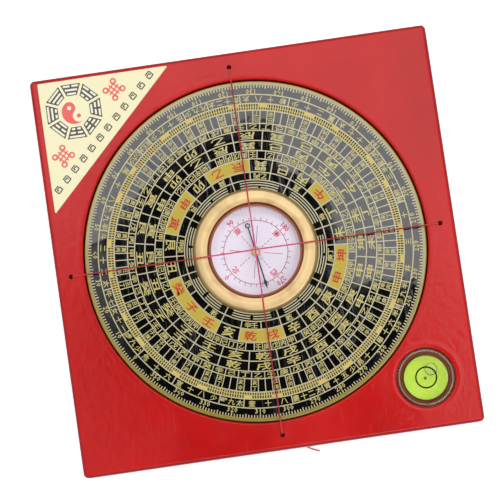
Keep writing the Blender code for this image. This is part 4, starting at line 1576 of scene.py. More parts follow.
@dataclass
class Board:
    """The square board, its raised lacquer at the openings, and the panel that closes it."""

    corner: float = 0.0014
    foot_round: float = 0.0004
    opening: float = 0.0519
    opening_round: float = 0.0006
    opening_swell: float = 0.000008
    rebate: float = 0.0536
    rebate_corner: float = 0.0013
    pocket: float = 0.00885
    pocket_swell: float = 0.00003
    hole: float = 0.00065
    hole_round: float = 0.0001
    knot_pocket: float = 0.0017
    knot_depth: float = 0.0023
    groove_depth: float = 0.001
    groove: Points = ((-0.011, -0.0549), (-0.011, -0.059), (0.0031, -0.059), (0.0031, -0.0615),
                      (0.0088, -0.0615), (0.0088, -0.0549))
    swell_width: float = 0.0021
    swell_steps: int = 14
    swell_peak_share: float = 0.25
    panel_corner: float = 0.001
    panel_round: float = 0.0003
    nibs: Sequence[Triple] = (
        (-0.021, -0.0508, 0.00022), (0.03, 0.052, 0.00014), (-0.0562, -0.03, 0.00012),
        (0.0535, -0.023, 0.00013), (0.018, -0.0567, 0.00011), (-0.035, -0.0545, 0.00012))
    nib_height_share: float = 0.6

    def build(self) -> None:
        """Build the board, the lacquer's swells and nibs, and the back panel."""
        self.shell()
        self.swell("opening_swell", self.opening, self.opening_swell, Vector())
        self.swell("pocket_swell", self.pocket, self.pocket_swell, LEVEL_PLACE)
        self.dust_nibs()
        self.panel()

    def shell(self) -> None:
        """The board itself."""
        block = prism(square(BOARD_HALF, self.corner), 0.0, BOARD_TOP)
        round_edges(block, BOARD_TOP, BOARD_ROUND, 6)
        round_edges(block, 0.0, self.foot_round, 3)
        cutters = [
            bore(self.opening, -OVERRUN, BOARD_TOP, self.opening_round, 288),
            prism(square(self.rebate, self.rebate_corner), -OVERRUN, PANEL_TOP + CLEARANCE + OVERRUN),
            bore(self.pocket, LEVEL_LOW[2] - CLEARANCE, BOARD_TOP, self.opening_round, 96, LEVEL_PLACE),
            prism(self.groove, -OVERRUN, self.groove_depth + OVERRUN),
        ]
        for side in range(4):
            place = Matrix.Rotation(side * pi / 2, 3, "Z") @ Vector((0, HOLE_REACH, 0))
            cutters.append(bore(self.hole, -OVERRUN, BOARD_TOP, self.hole_round, 24, place))
            cutters.append(bore(self.knot_pocket, -OVERRUN, self.knot_depth - OVERRUN, 0.0, 24, place))
        publish(carve(block, cutters), "lacquered_board", Body.BOARD, RED_LACQUER,
                ["frame_board"], even=True)

    def swell(self, name: str, opening: float, height: float, place: Vector) -> None:
        """The low swell where the lacquer has drawn up round an opening, highest near the lip.

        Args:
            name: the piece's name.
            opening: the opening's radius.
            height: how high the swell is.
            place: where the opening's middle is.
        """
        lip, peak = opening + self.opening_round, self.swell_peak_share
        profile = [(lip + self.swell_width, BOARD_TOP - height), (lip, BOARD_TOP - height)]
        for step in range(self.swell_steps + 1):
            along = step / self.swell_steps
            rise = 0.5 - 0.5 * cos(pi * min(along / peak, (1 - along) / (1 - peak)))
            profile.append((lip + along * self.swell_width, BOARD_TOP + rise * height))
        publish(turned(profile, 288, place), name, Body.BOARD, RED_LACQUER)

    def dust_nibs(self) -> None:
        """Specks of dust caught under the lacquer."""
        shape = bmesh.new()
        for x, y, size in self.nibs:
            at = Matrix.Translation((x, y, BOARD_TOP))
            bmesh.ops.create_icosphere(
                shape, subdivisions=2, radius=1.0,
                matrix=at @ Matrix.Diagonal((size, size, size * self.nib_height_share, 1)))
        publish(shape, "lacquer_nibs", Body.BOARD, RED_LACQUER)

    def panel(self) -> None:
        """The back panel with the hole for the finger."""
        block = prism(square(PANEL_HALF, self.panel_corner), 0.0, PANEL_TOP)
        round_edges(block, 0.0, self.panel_round, 3)
        hole = bore(FINGER_HOLE, -OVERRUN, PANEL_TOP, self.panel_round, 96)
        publish(carve(block, [hole]), "closing_panel", Body.BOARD, BACK_LACQUER,
                ["back_panel"], even=True)


@dataclass
class Label:
    """The three-cornered label: card, trigrams round the two commas, and plain ornaments."""

    corner: Pair = (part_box("label")[0][0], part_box("label")[1][1])
    leg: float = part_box("label")[1][0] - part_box("label")[0][0]
    corner_round: float = 0.0003
    edge_round: float = 0.00012
    glue: float = 0.00002
    figure: Pair = (-0.0482, 0.0495)
    figure_turn: float = 45.0
    frame_outer: float = 0.0083
    frame_inner: float = 0.0048
    block_gap: float = 0.00042
    bar_inset: float = 0.00035
    bar_split: float = 0.0003
    bar_width_share: float = 0.52
    bar_drop_share: float = 0.2
    commas: float = 0.0037
    comma_shift: Pair = (0.0, -0.0002)
    comma_dot: float = 0.00062
    ornaments: Points = ((-0.0353, 0.0543), (-0.0532, 0.0364))
    ornament: float = 0.0062
    strand_shares: Triple = (0.2, 0.66, 0.07)
    loop_shares: Triple = (0.41, 0.08, 0.16)
    fret_row: Points = ((-0.056, 0.0265), (-0.0242, 0.0571))
    fret_count: int = 12
    fret: float = 0.0024
    fret_share: float = 0.8
    fret_line_share: float = 0.15
    fret_strokes: Sequence[tuple[float, ...]] = (
        (0.0, 0.45, 0.9, 0.0), (0.45, 0.0, 0.9, 90.0), (0.0, -0.45, 0.9, 0.0),
        (-0.45, -0.14, 0.62, 90.0), (-0.12, 0.17, 0.66, 0.0), (0.16, 0.0, 0.34, 90.0))
    trigrams: tuple[str, ...] = ("111", "011", "010", "001", "000", "100", "101", "110")

    def __post_init__(self) -> None:
        """Open the inks."""
        self.top = heights("label")[1] - 2 * CARD_INK_DEPTH
        middle = Vector((*self.figure, 0.0))
        self.white = Ink(self.top + CARD_INK_DEPTH, CARD_INK_DEPTH, middle)
        self.grey, self.coral, self.red, self.black = (
            Ink(self.top, CARD_INK_DEPTH, middle) for _ in range(4))

    def build(self) -> None:
        """Build the card and its print."""
        self.card()
        self.blocks()
        self.two_commas()
        self.knots()
        self.frets()
        for ink, name, finish in (
                (self.grey, "label_blocks", GREY_INK), (self.white, "label_bars", CREAM_INK),
                (self.coral, "label_commas", CORAL_INK), (self.red, "label_knots", CORAL_INK),
                (self.black, "label_frets", GREY_INK)):
            publish(ink.shapes, name, Body.BOARD, finish)

    def card(self) -> None:
        """The card on its pad of glue."""
        x, y = self.corner
        outline = rounded_outline(((x, y), (x, y - self.leg), (x + self.leg, y)), self.corner_round)
        block = prism(outline, BOARD_TOP + self.glue, self.top - BOARD_TOP - self.glue)
        round_edges(block, self.top, self.edge_round, 3)
        publish(block, "label_card", Body.BOARD, LABEL_PAPER, ["label"], even=True)

    def block_frame(self, turn: float) -> Matrix:
        """The place and turn of a trigram's block, its outside towards local +Y."""
        return Matrix.Translation((*self.figure, 0.0)) @ Matrix.Rotation(-radians(turn), 4, "Z")

    def blocks(self) -> None:
        """Eight tapering blocks with three light bars each, whole or broken."""
        slope = tan(radians(EIGHTH_TURN / 2))
        gap, split = self.block_gap, self.bar_split
        outer, inner = self.frame_outer, self.frame_inner
        pitch = (outer - inner) / 3
        corners = ((outer * slope - gap, outer), (gap - outer * slope, outer),
                   (gap - inner * slope, inner), (inner * slope - gap, inner))
        for place, lines in enumerate(self.trigrams):
            turn = place * EIGHTH_TURN - self.figure_turn
            matrix = self.block_frame(turn)
            self.grey.add(mesh_of(prism(corners, self.top, CARD_INK_DEPTH), "block"), matrix)
            for index, line in enumerate(lines):
                middle = outer - (index + 0.5) * pitch
                reach = (middle - pitch * self.bar_drop_share) * slope - gap - self.bar_inset
                for low, high in ((-reach, reach),) if line == "1" else ((-reach, -split), (split, reach)):
                    spot = matrix @ Vector(((low + high) / 2, middle, 0.0))
                    self.white.bar(spot, high - low, pitch * self.bar_width_share, -radians(turn))

    def two_commas(self) -> None:
        """The red comma, and the dots of both commas."""
        radius = self.commas
        outline = []
        for centre, size, start, end in ((0, radius, 90, 270), (-radius / 2, radius / 2, 270, 90),
                                         (radius / 2, radius / 2, 270, 450)):
            outline += arc((0, centre), size, start, end, 16)[1:]
        matrix = Matrix.Translation((*self.comma_shift, 0.0)) @ self.block_frame(-self.figure_turn)
        self.coral.add(mesh_of(prism(outline, self.top, CARD_INK_DEPTH), "comma"), matrix)
        for ink, side in ((self.white, 1), (self.coral, -1)):
            ink.dot(self.comma_dot, 20.0, matrix @ Vector((0.0, side * radius / 2, 0.0)))

    def knots(self) -> None:
        """A plain woven knot in each of the two large places."""
        size = self.ornament
        spacing, length, width = (share * size for share in self.strand_shares)
        reach, loop_inner, loop_outer = (share * size for share in self.loop_shares)
        for x, y in self.ornaments:
            spot = Vector((x, y, 0.0))
            for along, share in ((pi / 4, 1.0), (-pi / 4, 0.8)):
                across = Vector((-sin(along), cos(along), 0.0))
                for row in (-1, 0, 1):
                    self.red.bar(spot + across * row * spacing, length, width, along, share)
            for corner in range(4):
                angle = corner * pi / 2
                loop = spot + Vector((cos(angle), sin(angle), 0.0)) * reach
                self.red.band(loop_inner, loop_outer, step=24.0, centre=loop, share=0.6)

    def frets(self) -> None:
        """A row of small square spirals along the long side."""
        start, end = (Vector((*place, 0.0)) for place in self.fret_row)
        along = (end - start).angle(Vector((1, 0, 0)))
        size = self.fret * self.fret_share
        for place in range(self.fret_count):
            spot = start.lerp(end, place / (self.fret_count - 1))
            flip = 1.0 if place % 2 else -1.0
            for x, y, length, turn in self.fret_strokes:
                shift = Matrix.Rotation(along, 3, "Z") @ Vector((x * flip, y, 0.0)) * size
                self.black.bar(spot + shift, length * size, self.fret * self.fret_line_share,
                               along + radians(turn), 0.8 if turn else 1.0)


@dataclass
class Threads:
    """The taut sighting threads, their knots below the board, and the loose tail."""

    radius: float = 0.00025
    twist: float = 0.0011
    twist_steps: int = 8
    ply_share: float = 0.56
    ply_reach_share: float = 0.44
    ply_normal: Triple = (0.31, 0.27, 0.91)
    reach: float = HOLE_REACH - 0.0006
    bend: float = 0.0005
    taut_steps: int = 24
    crossing_reach: float = 0.012
    knot_steps: int = 60
    knot_turn_share: float = 0.94
    knot_depth_share: float = 1.6
    tail_height: float = 0.00045
    floor_height: float = 0.00027
    tail_points: int = 64
    tail_route: Points = (
        (-0.0012, -0.0561), (-0.003, -0.0563), (-0.006, -0.0563), (-0.0088, -0.0561),
        (-0.0099, -0.0565), (-0.0102, -0.0573), (-0.0097, -0.0581), (-0.0085, -0.0584),
        (-0.006, -0.0584), (-0.003, -0.0582), (0.0000, -0.0582), (0.0025, -0.0585),
        (0.0044, -0.0591), (0.0064, -0.0601), (0.0084, -0.0612), (0.0105, -0.0621),
    )

    def build(self) -> None:
        """Build the threads, the knots and the tail."""
        low, high = (heights(name)[1] - self.radius for name in ("thread_lengthwise", "thread_crosswise"))
        self.taut("thread_lengthwise", Vector((0, 1, 0)), low, low)
        self.taut("thread_crosswise", Vector((1, 0, 0)), low, high)
        for name in ("knot_top", "knot_bottom", "knot_left", "knot_right"):
            self.knot(name)
        self.tail()

    def strands(self, route: Sequence[Vector]) -> Shape:
        """Two plies twisted round a route.

        Args:
            route: the points that the thread follows.

        Returns:
            Both plies, closed at their ends.
        """
        fine = evenly(route, self.twist / self.twist_steps)
        curve = bpy.data.curves.new("plies", "CURVE")
        curve.dimensions = "3D"
        curve.bevel_depth = self.radius * self.ply_share
        curve.bevel_resolution = 1
        curve.use_fill_caps = True
        for side in (0.0, pi):
            spline = curve.splines.new("POLY")
            spline.points.add(len(fine) - 1)
            normal = Vector(self.ply_normal)
            for index, point in enumerate(fine):
                ahead = fine[min(index + 1, len(fine) - 1)] - fine[max(index - 1, 0)]
                normal = (normal - ahead * normal.dot(ahead) / ahead.length_squared).normalized()
                turn = Matrix.Rotation(side + index * tau / self.twist_steps, 3, ahead)
                spot = point + turn @ normal * self.radius * self.ply_reach_share
                spline.points[index].co = (*spot, 1.0)
        holder = bpy.data.objects.new("plies", curve)
        mesh = bpy.data.meshes.new_from_object(holder)
        shape = bmesh.new()
        shape.from_mesh(mesh)
        bpy.data.objects.remove(holder)
        bpy.data.meshes.remove(mesh)
        return shape

    def taut(self, name: str, direction: Vector, height: float, crossing: float) -> None:
        """A thread drawn across the board and down through two holes.

        Args:
            name: the CAD node that it stands for.
            direction: the way that it runs.
            height: its height over the board.
            crossing: its height in the middle.
        """
        end = self.reach - self.bend
        half = [(self.reach, heights(name)[0]), *arc((end, height - self.bend), self.bend, 0, 90, 5)]
        for step in range(1, self.taut_steps + 1):
            along = end * (1 - step / self.taut_steps)
            lift = exp(-(along / self.crossing_reach) ** 2)
            half.append((along, height + (crossing - height) * lift))
        whole = half + [(-along, up) for along, up in reversed(half[:-1])]
        route = [direction * along + Vector((0, 0, up)) for along, up in whole]
        publish(self.strands(route), f"{name}_plies", Body.BOARD, RED_THREAD, [name])

    def knot(self, name: str) -> None:
        """An overhand knot with two cut ends.

        Args:
            name: the CAD node that it stands for.
        """
        low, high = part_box(name)
        middle = (Vector(low) + Vector(high)) / 2
        size = (high[0] - low[0]) / 2 - self.radius
        route = []
        for step in range(self.knot_steps + 1):
            angle = tau * step / self.knot_steps * self.knot_turn_share
            spot = Vector((sin(angle) + 2 * sin(2 * angle),
                           cos(angle) - 2 * cos(2 * angle),
                           -self.knot_depth_share * sin(3 * angle)))
            route.append(middle + spot * size / 3)
        publish(self.strands(route), f"{name}_tied", Body.BOARD, RED_THREAD, [name])

    def tail(self) -> None:
        """The loose tail, out from under the board's lower edge."""
        points = [Vector((x, y, self.floor_height if y < -BOARD_HALF else self.tail_height))
                  for x, y in self.tail_route]
        route = smooth_route(points, self.tail_points)
        piece = publish(self.strands(route), "thread_tail_plies", Body.BOARD,
                        RED_THREAD, ["thread_tail"])


@dataclass
class Capsule:
    """The compass in the dial: cup, card, pivot, seal, glass and bezel."""

    card_radius: float = 0.0137
    card_hole: float = 0.0014
    housing: float = 0.0154
    housing_round: float = 0.0004
    chamber: float = 0.014
    seat: float = 0.0146
    lining_gaps: Triple = (0.00004, 0.00001, 0.00032)
    lining_round: float = 0.0001
    seal_inner: float = 0.0138
    glass: float = 0.0143
    glass_round: float = 0.0002
    bezel_outer: float = 0.01875
    bezel_inner: float = 0.0142
    lip_inner: float = 0.0134
    outer_round: float = 0.0011
    inner_round: float = 0.0005
    lip: float = 0.0003
    crown: float = 0.00004
    crown_steps: int = 8
    scale: float = 0.00972
    scale_line: float = 0.0002
    scale_tick: Pair = (0.001, 0.00018)
    numbers: float = 0.0117
    number_size: Pair = (0.0022, 0.0024)
    number_pitch: float = 5.0
    names: float = 0.0083
    name_size: Pair = (0.0023, 0.0022)
    dash_start: float = 0.0024
    dash_pitch: float = 0.0011
    dash_size: Pair = (0.0007, 0.0002)
    diagonal: Triple = (0.0026, 0.0081, 0.00016)
    post: float = 0.0011
    post_round: float = 0.0002
    post_bore: float = 0.00035
    pin: float = 0.00025
    pin_point: float = 0.0006
    pin_tip: Pair = (0.00004, 0.00002)
    steps: int = 192

    def build(self) -> None:
        """Build the whole compass but its needle."""
        self.cup()
        self.lining()
        self.card()
        self.print_card()
        self.pivot()
        self.seal()
        self.lens()
        self.bezel()

    def cup(self) -> None:
        """The brass cup with the lens's shoulder."""
        low, top = heights("compass_housing")
        floor = heights("compass_card")[0] - CLEARANCE
        shoulder = heights("lens_seal")[0] - CLEARANCE
        size = self.housing_round
        profile = [(0, low), *arc((self.housing - size, low + size), size, 270, 360, 4),
                   (self.housing, top), (self.seat, top), (self.seat, shoulder),
                   (self.chamber, shoulder), (self.chamber, floor), (0, floor)]
        publish(turned(profile, self.steps), "brass_cup", Body.DIAL, INNER_BRASS,
                ["compass_housing"])

    def lining(self) -> None:
        """The pale painted wall of the cup, from the card up to the lens's shoulder."""
        inner_gap, outer_gap, top_gap = self.lining_gaps
        low, top = heights("compass_card")[0], heights("lens_seal")[0] - top_gap
        inner, outer, size = self.card_radius + inner_gap, self.chamber - outer_gap, self.lining_round
        profile = [(inner, low), (outer, low), (outer, top),
                   *arc((inner + size, top - size), size, 90, 180, 3)]
        publish(turned(profile, self.steps), "cup_lining", Body.DIAL, LINING_PAINT)

    def card(self) -> None:
        """The pale card."""
        low, top = heights("compass_card")
        top -= CARD_INK_DEPTH
        profile = [(self.card_hole, low), (self.card_radius, low), (self.card_radius, top),
                   (self.card_hole, top)]
        publish(turned(profile, self.steps), "pale_card", Body.DIAL, CARD_PAPER,
                ["compass_card"])

    def print_card(self) -> None:
        """The card's circle, marks, lines, numbers and names of the four directions."""
        top = heights("compass_card")[1] - CARD_INK_DEPTH
        dark, red = Ink(top, CARD_INK_DEPTH), Ink(top, CARD_INK_DEPTH)
        dark.ring(self.scale, self.scale_line, step=3.0)
        tick_length, tick_width = self.scale_tick
        for degree in range(0, 360, 10):
            dark.spoke(self.scale, self.scale + tick_length, DIAL_BEARING + degree, tick_width)
        dash_length, dash_width = self.dash_size
        start, end, width = self.diagonal
        directions = (("0", "北"), ("90", "東"), ("180", "南"), ("270", "西"))
        for quarter, (number, name) in enumerate(directions):
            bearing = DIAL_BEARING + quarter * 90
            for place, digit in enumerate(number):
                shift = (place - (len(number) - 1) / 2) * self.number_pitch
                red.write(digit, self.numbers, bearing + shift, self.number_size, True)
            red.write(name, self.names, bearing, self.name_size, True)
            for dash in range(4):
                inner = self.dash_start + dash * self.dash_pitch
                dark.spoke(inner, inner + dash_length, bearing, dash_width)
            dark.spoke(start, end, bearing + EIGHTH_TURN, width)
        publish(dark.shapes, "card_scale", Body.DIAL, CARD_DARK_INK)
        publish(red.shapes, "card_names", Body.DIAL, CARD_INK)

    def pivot(self) -> None:
        """The post and the pointed pin."""
        low, top = heights("pivot_post")
        width, size, hole, floor = self.post, self.post_round, self.post_bore, low + CLEARANCE
        post = [(0, low), (width, low), *arc((width - size, top - size), size, 0, 90, 3), (hole, top),
                (hole, floor), (0, floor)]
        publish(turned(post, 48), "post", Body.DIAL, CAP_BRASS, ["pivot_post"])
        low, tip = heights("pivot_pin")
        blunt, blunt_height = self.pin_tip
        pin = [(0, low), (self.pin, low), (self.pin, tip - self.pin_point), (blunt, tip - blunt_height),
               (0, tip)]
        publish(turned(pin, 24), "pin", Body.DIAL, BRIGHT_STEEL, ["pivot_pin"])

    def seal(self) -> None:
        """The round-edged seal under the glass."""
        low, top = heights("lens_seal")
        inner, outer, size = self.seal_inner, self.glass, self.glass_round
        profile = []
        for radius, height, start in ((inner + size, low + size, 180), (outer - size, low + size, 270),
                                      (outer - size, top - size, 0), (inner + size, top - size, 90)):
            profile += arc((radius, height), size, start, start + 90, 3)
        publish(turned(profile, 120), "seal", Body.DIAL, RUBBER, ["lens_seal"])

    def lens(self) -> None:
        """The glass, its edges bevelled."""
        low, top = heights("lens")
        radius, size = self.glass, self.glass_round
        profile = [(0, low), (radius - size, low), (radius, low + size), (radius, top - size),
                   (radius - size, top), (0, top)]
        publish(turned(profile, self.steps), "lens_disc", Body.DIAL, LENS_GLASS, ["lens"])

    def bezel(self) -> None:
        """The broad brass ring, its face very slightly crowned."""
        low, top = heights("bezel")
        flat = top - self.crown
        start, end = self.bezel_inner + self.inner_round, self.bezel_outer - self.outer_round
        shares = [step / self.crown_steps for step in range(1, self.crown_steps)]
        face = [(end + (start - end) * share, flat + self.crown * sin(share * pi))
                for share in shares]
        profile = [(self.lip_inner, low), (self.bezel_outer, low),
                   *arc((end, flat - self.outer_round), self.outer_round, 0, 90, 8), *face,
                   *arc((start, flat - self.inner_round), self.inner_round, 90, 180, 6),
                   (self.bezel_inner, low + self.lip), (self.lip_inner, low + self.lip)]
        publish(turned(profile, self.steps), "brass_bezel", Body.DIAL, SATIN_BRASS,
                ["bezel"])


@dataclass
class Needle:
    """The needle, its brass cap and the jewel in it."""

    half_width: float = 0.0002
    tip: float = 0.0117
    head: float = 0.0027
    head_half: float = 0.0006
    head_back: float = 0.0007
    eye: float = 0.00135
    eye_hole: float = 0.00095
    tail: float = 0.0082
    tail_ring: float = 0.00078
    tail_hole: float = 0.00044
    cap_stem: float = 0.00085
    cap_head: float = 0.00145
    cap_bore: float = 0.0006
    cap_rim: float = 0.00025
    cap_gap: float = 0.0001
    dome_steps: int = 10
    jewel: float = 0.0005
    jewel_cup: float = 0.00038

    def build(self) -> None:
        """Build the needle, the cap and the jewel."""
        self.blade()
        self.cap()

    def outline(self) -> list[Pair]:
        """The needle's outline, its tip towards +X.

        Returns:
            The outline's points.
        """
        neck = self.tip - self.head
        eye_turn, ring_turn = (degrees(asin(self.half_width / radius))
                               for radius in (self.eye, self.tail_ring))
        upper = [(self.tip, 0.0), (neck + self.head_back, self.head_half), (neck, self.half_width),
                 *arc((0.0, 0.0), self.eye, eye_turn, 180 - eye_turn, 16),
                 *arc((-self.tail, 0.0), self.tail_ring, ring_turn, 170, 14)]
        return [*upper, (-self.tail - self.tail_ring, 0.0), *((x, -y) for x, y in reversed(upper[1:]))]

    def blade(self) -> None:
        """The thin steel needle with its eye and its tail ring."""
        low, top = heights("needle")
        block = prism(self.outline(), low, top - low)
        ring = Vector((-self.tail, 0, 0))
        left = carve(block, [bore(self.eye_hole, low - OVERRUN, top, 0.0, 32),
                             bore(self.tail_hole, low - OVERRUN, top, 0.0, 24, ring)])
        bmesh.ops.rotate(left, verts=left.verts, cent=(0, 0, 0),
                         matrix=Matrix.Rotation(radians(90 - NEEDLE_BEARING), 3, "Z"))
        publish(left, "needle_blade", Body.NEEDLE, DARK_STEEL, ["needle"])

    def cap(self) -> None:
        """The domed cap and the jewel in its bore."""
        low, top = heights("needle_cap")
        jewel_low, jewel_top = heights("cap_jewel")
        under = heights("needle")[1] + self.cap_gap
        rim, roof = under + self.cap_rim, jewel_top + self.cap_gap
        angles = [pi / 2 * step / self.dome_steps for step in range(1, self.dome_steps)]
        dome = [(self.cap_head * cos(angle), rim + (top - rim) * sin(angle)) for angle in angles]
        profile = [(0, roof), (self.cap_bore, roof), (self.cap_bore, low), (self.cap_stem, low),
                   (self.cap_stem, under), (self.cap_head, under), (self.cap_head, rim), *dome, (0, top)]
        publish(turned(profile, 64), "cap", Body.NEEDLE, CAP_BRASS, ["needle_cap"])
        cup = [(0, heights("pivot_pin")[1] + self.cap_gap), (self.jewel_cup, jewel_low),
               (self.jewel, jewel_low), (self.jewel, jewel_top), (0, jewel_top)]
        publish(turned(cup, 32), "jewel_cup", Body.NEEDLE, AGATE, ["cap_jewel"])


@dataclass
class Level:
    """The bubble level: clear vial, green plug, liquid, bubble and printed ring."""

    radius: float = 0.0085
    chamber: float = 0.0066
    edge_round: float = 0.0004
    ceiling: float = 0.0018
    dome: float = 0.00001
    dome_steps: int = 8
    plug_bevel: float = 0.0002
    ring: float = 0.00309
    ring_line: float = 0.00046
    dot: float = 0.0005
    # Where the painted highlight round the vial's edge lies.
    frost_inner: float = 0.0081
    frost_width: float = 0.00012
    film: float = 0.00003
    sunk: float = 0.00001

    def build(self) -> None:
        """Build the level."""
        low, top = LEVEL_LOW[2], LEVEL_HIGH[2]
        size, film = self.edge_round, self.film
        shares = [step / self.dome_steps for step in range(self.dome_steps + 1)]
        arched = [(self.chamber * share, top - self.ceiling + self.dome * (1 - share ** 2))
                  for share in shares]
        vial = [*arched, (self.chamber, low), (self.radius, low),
                *arc((self.radius - size, top - size), size, 0, 90, 9),
                (self.radius - 2 * size, top), (0, top)]
        publish(turned(vial, 256, LEVEL_PLACE), "vial", Body.BOARD, ACRYLIC,
                ["level_body"])
        inner = self.chamber - film
        plug_top = heights("level_base")[1]
        plug = [(0, low), (inner - self.plug_bevel, low), (inner, low + self.plug_bevel),
                (inner, plug_top), (0, plug_top)]
        publish(turned(plug, 96, LEVEL_PLACE), "vial_plug", Body.BOARD, GREEN_PLUG,
                ["level_base"])
        surface = [(radius * inner / self.chamber, height - film) for radius, height in arched]
        liquid = [(0, plug_top + film), (inner, plug_top + film), *reversed(surface)]
        publish(turned(liquid, 96, LEVEL_PLACE), "vial_liquid", Body.LIQUID, LIQUID,
                ["level_fluid"])
        self.bubble()
        self.marks(top, plug_top)

    def bubble(self) -> None:
        """The air bubble, flat above and round below."""
        low, high = (Vector(corner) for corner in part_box("level_bubble"))
        size = (high.x - low.x) / 2
        shape = bmesh.new()
        scale = Matrix.Diagonal((size, size, (high.z - low.z) / 2, 1))
        bmesh.ops.create_uvsphere(shape, u_segments=40, v_segments=24, radius=1.0,
                                  matrix=Matrix.Translation((low + high) / 2) @ scale)
        publish(shape, "air_bubble", Body.BUBBLE, BUBBLE_AIR, ["level_bubble"])

    def marks(self, top: float, plug_top: float) -> None:
        """The ring and the dot printed on the vial, and a pale ring of painted highlight round the vial's
        edge.

        Args:
            top: the height of the vial's face.
            plug_top: the height of the plug's face.
        """
        ink, highlight = (Ink(top - self.sunk, depth, LEVEL_PLACE) for depth in (self.film, self.film / 2))
        ink.ring(self.ring, self.ring_line, step=5.0)
        publish(ink.shapes, "vial_marks", Body.BOARD, BLACK_INK)
        # A painted highlight round the vial's edge.
        highlight.band(self.frost_inner - self.frost_width, self.frost_inner, step=5.0)
        publish(highlight.shapes, "vial_edge_highlight", Body.BOARD, VIAL_EDGE_HIGHLIGHT)
        dot = Ink(plug_top, self.film / 2, LEVEL_PLACE)
        dot.dot(self.dot, 20.0)
        publish(dot.shapes, "plug_dot", Body.BOARD, GREEN_DOT)


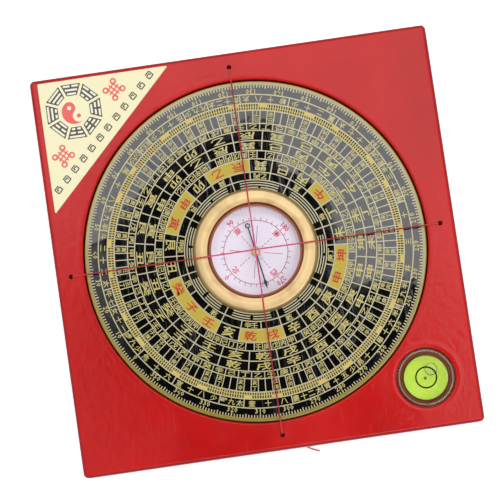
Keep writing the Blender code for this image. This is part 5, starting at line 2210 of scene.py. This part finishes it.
# The studio
@dataclass
class Studio:
    """Floor, lamps, world and camera."""

    camera_place: Triple = (-0.00134, -0.07213, 0.8106)
    camera_turn: Triple = (5.14, 0.77, -8.25)
    lens: float = 191.53
    near_clip: float = 0.01
    floor_half: float = 6.0
    floor_drop: float = 0.00002
    floor_grey: float = 0.9
    floor_glow: float = 0.55
    panel_height: float = 1.2
    panel_light: float = 2.2
    side_light: float = 0.8
    side_fade: Pair = (0.004, -0.036)
    dark_light: float = 0.02
    dark_half: float = 0.5
    dark_forward: float = 0.1
    dark_rise: float = 0.01
    world_light: float = 0.46
    sun_spread: float = 34.0
    suns: Sequence[Triple] = ((0.85, 17.0, 14.0), (0.45, -17.0, -14.0))
    bright: Points = (
        (-0.14, 0.008), (-0.05, 0.008), (-0.045, 0.01), (-0.0384, 0.0166), (-0.0302, 0.0239),
        (-0.0229, 0.0307), (-0.0139, 0.0349), (-0.0044, 0.0373), (0.0058, 0.0396), (0.0109, 0.038),
        (0.0103, 0.0239), (0.0194, 0.019), (0.0242, 0.0107), (0.025, 0.0014), (0.0217, -0.0128),
        (0.0491, -0.0166), (0.053, -0.019), (0.0552, -0.0363), (0.0548, -0.05), (0.0508, -0.055),
        (0.0462, -0.0579), (0.044, -0.085), (0.14, -0.085), (0.14, 0.2), (-0.14, 0.2))
    faint: Points = ((-0.0523, 0.0075), (-0.044, 0.0075), (-0.043, -0.01), (-0.0405, -0.03),
                     (-0.0385, -0.04), (-0.0523, -0.04))
    left: Points = ((-0.14, 0.0075), (-0.0525, 0.0075), (-0.0525, -0.03), (-0.048, -0.04),
                    (-0.04, -0.085), (-0.14, -0.085))

    def build(self) -> None:
        """Build the studio."""
        self.camera()
        self.world()
        self.floor()
        self.lamps()

    def camera(self) -> None:
        """The camera of the photograph."""
        data = bpy.data.cameras.new("camera")
        data.lens = self.lens
        data.clip_start = self.near_clip
        camera = put("camera", data)
        camera.location = self.camera_place
        camera.rotation_euler = [radians(angle) for angle in self.camera_turn]
        bpy.context.scene.camera = camera

    def world(self) -> None:
        """Even pale light from all round."""
        world = bpy.data.worlds.new("studio")
        world.use_nodes = True
        back = world.node_tree.nodes["Background"]
        back.inputs["Color"].default_value = (1.0, 1.0, 1.0, 1.0)
        back.inputs["Strength"].default_value = self.world_light
        bpy.context.scene.world = world
        bpy.context.scene.view_settings.view_transform = "Standard"

    def floor(self) -> None:
        """A wide floor whose paint keeps shadows and looks white to the eye."""
        graph = MaterialGraph("floor_white")
        rays = graph.node("LightPath").outputs
        seen = graph.most(rays["Is Camera Ray"], rays["Is Glossy Ray"], rays["Is Transmission Ray"])
        grey = self.floor_grey
        graph.paint((grey, grey, grey, 1.0), 0.9, {
            "Specular IOR Level": 0.0, "Emission Color": (1.0, 1.0, 1.0, 1.0),
            "Emission Strength": graph.times(seen, self.floor_glow)})
        shape = bmesh.new()
        bmesh.ops.create_grid(shape, x_segments=1, y_segments=1, size=self.floor_half,
                              matrix=Matrix.Translation((0, 0, -self.floor_drop)))
        self.stage_piece(shape, "floor", graph.material)

    def stage_piece(self, shape: Shape, name: str, material: Material) -> Object:
        """Turn a bmesh into a piece of the stage.

        Args:
            shape: the piece's shape; it is freed.
            name: the piece's name.
            material: its material.

        Returns:
            The piece.
        """
        mesh = mesh_of(shape, name)
        mesh.materials.append(material)
        piece = put(name, mesh)
        return piece

    def mirrored(self, spot: Pair) -> Vector:
        """The place on the panels' level that the camera sees mirrored in the dial at a spot.

        Args:
            spot: the spot's X and Y.

        Returns:
            The place.
        """
        eye = Vector(self.camera_place)
        here = Vector((*spot, PLATE_TOP))
        seen = here + (here - eye) * (self.panel_height - PLATE_TOP) / (eye.z - PLATE_TOP)
        return Vector((seen.x, seen.y, self.panel_height))

    def overhead(self, outline: Points) -> Shape:
        """A flat panel whose mirror image in the dial has the given outline.

        Args:
            outline: the mirror image's corners.

        Returns:
            The panel's shape.
        """
        shape = bmesh.new()
        shape.faces.new([shape.verts.new(self.mirrored(spot)) for spot in outline])
        return shape

    def lamps(self) -> None:
        """A broad panel overhead with the photographer's shade in it, and a fainter one at the left."""
        fade = tuple(self.mirrored((0.0, y)).y for y in self.side_fade)
        self.panel(self.overhead(self.bright), "overhead_panel", self.panel_light)
        self.panel(self.overhead(self.faint), "side_panel", self.side_light, fade)
        self.panel(self.overhead(self.left), "left_panel", self.side_light)
        middle = Vector((0.0, self.dark_forward, self.panel_height + self.dark_rise))
        dark = turned([(0.0, 0.0), (self.dark_half, 0.0)], 64, middle)
        self.panel(dark, "dark_ceiling", self.dark_light).visible_diffuse = False
        for strength, over, aside in self.suns:
            data = bpy.data.lights.new("soft_light", "SUN")
            data.energy = strength
            data.angle = radians(self.sun_spread)
            put("soft_light", data).rotation_euler = (radians(over), radians(aside), 0)

    def panel(self, shape: Shape, name: str, strength: float, fade: Pair | None = None) -> Object:
        """Hang a glowing panel that the camera doesn't see.

        Args:
            shape: the panel's shape; it is freed.
            name: the panel's name.
            strength: how bright it is.
            fade: where along Y it is full and where it is nothing, if it fades.

        Returns:
            The panel.
        """
        graph = MaterialGraph(name)
        level: Feed = strength
        if fade:
            level = graph.times(graph.ease(graph.parts(graph.place)[1], fade[1], fade[0]), strength)
        graph.surface(graph.node("Emission", {"Strength": level}).outputs[0])
        piece = self.stage_piece(shape, name, graph.material)
        piece.visible_camera = False
        piece.visible_shadow = False
        return piece


def main() -> None:
    """Build the studio and the compass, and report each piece."""
    for assembly in (Studio, Threads, Board, Label, Dial, Capsule, Needle, Level):
        assembly().build()


if __name__ == "__main__":
    logging.basicConfig(level=logging.INFO, format="%(message)s")
    main()
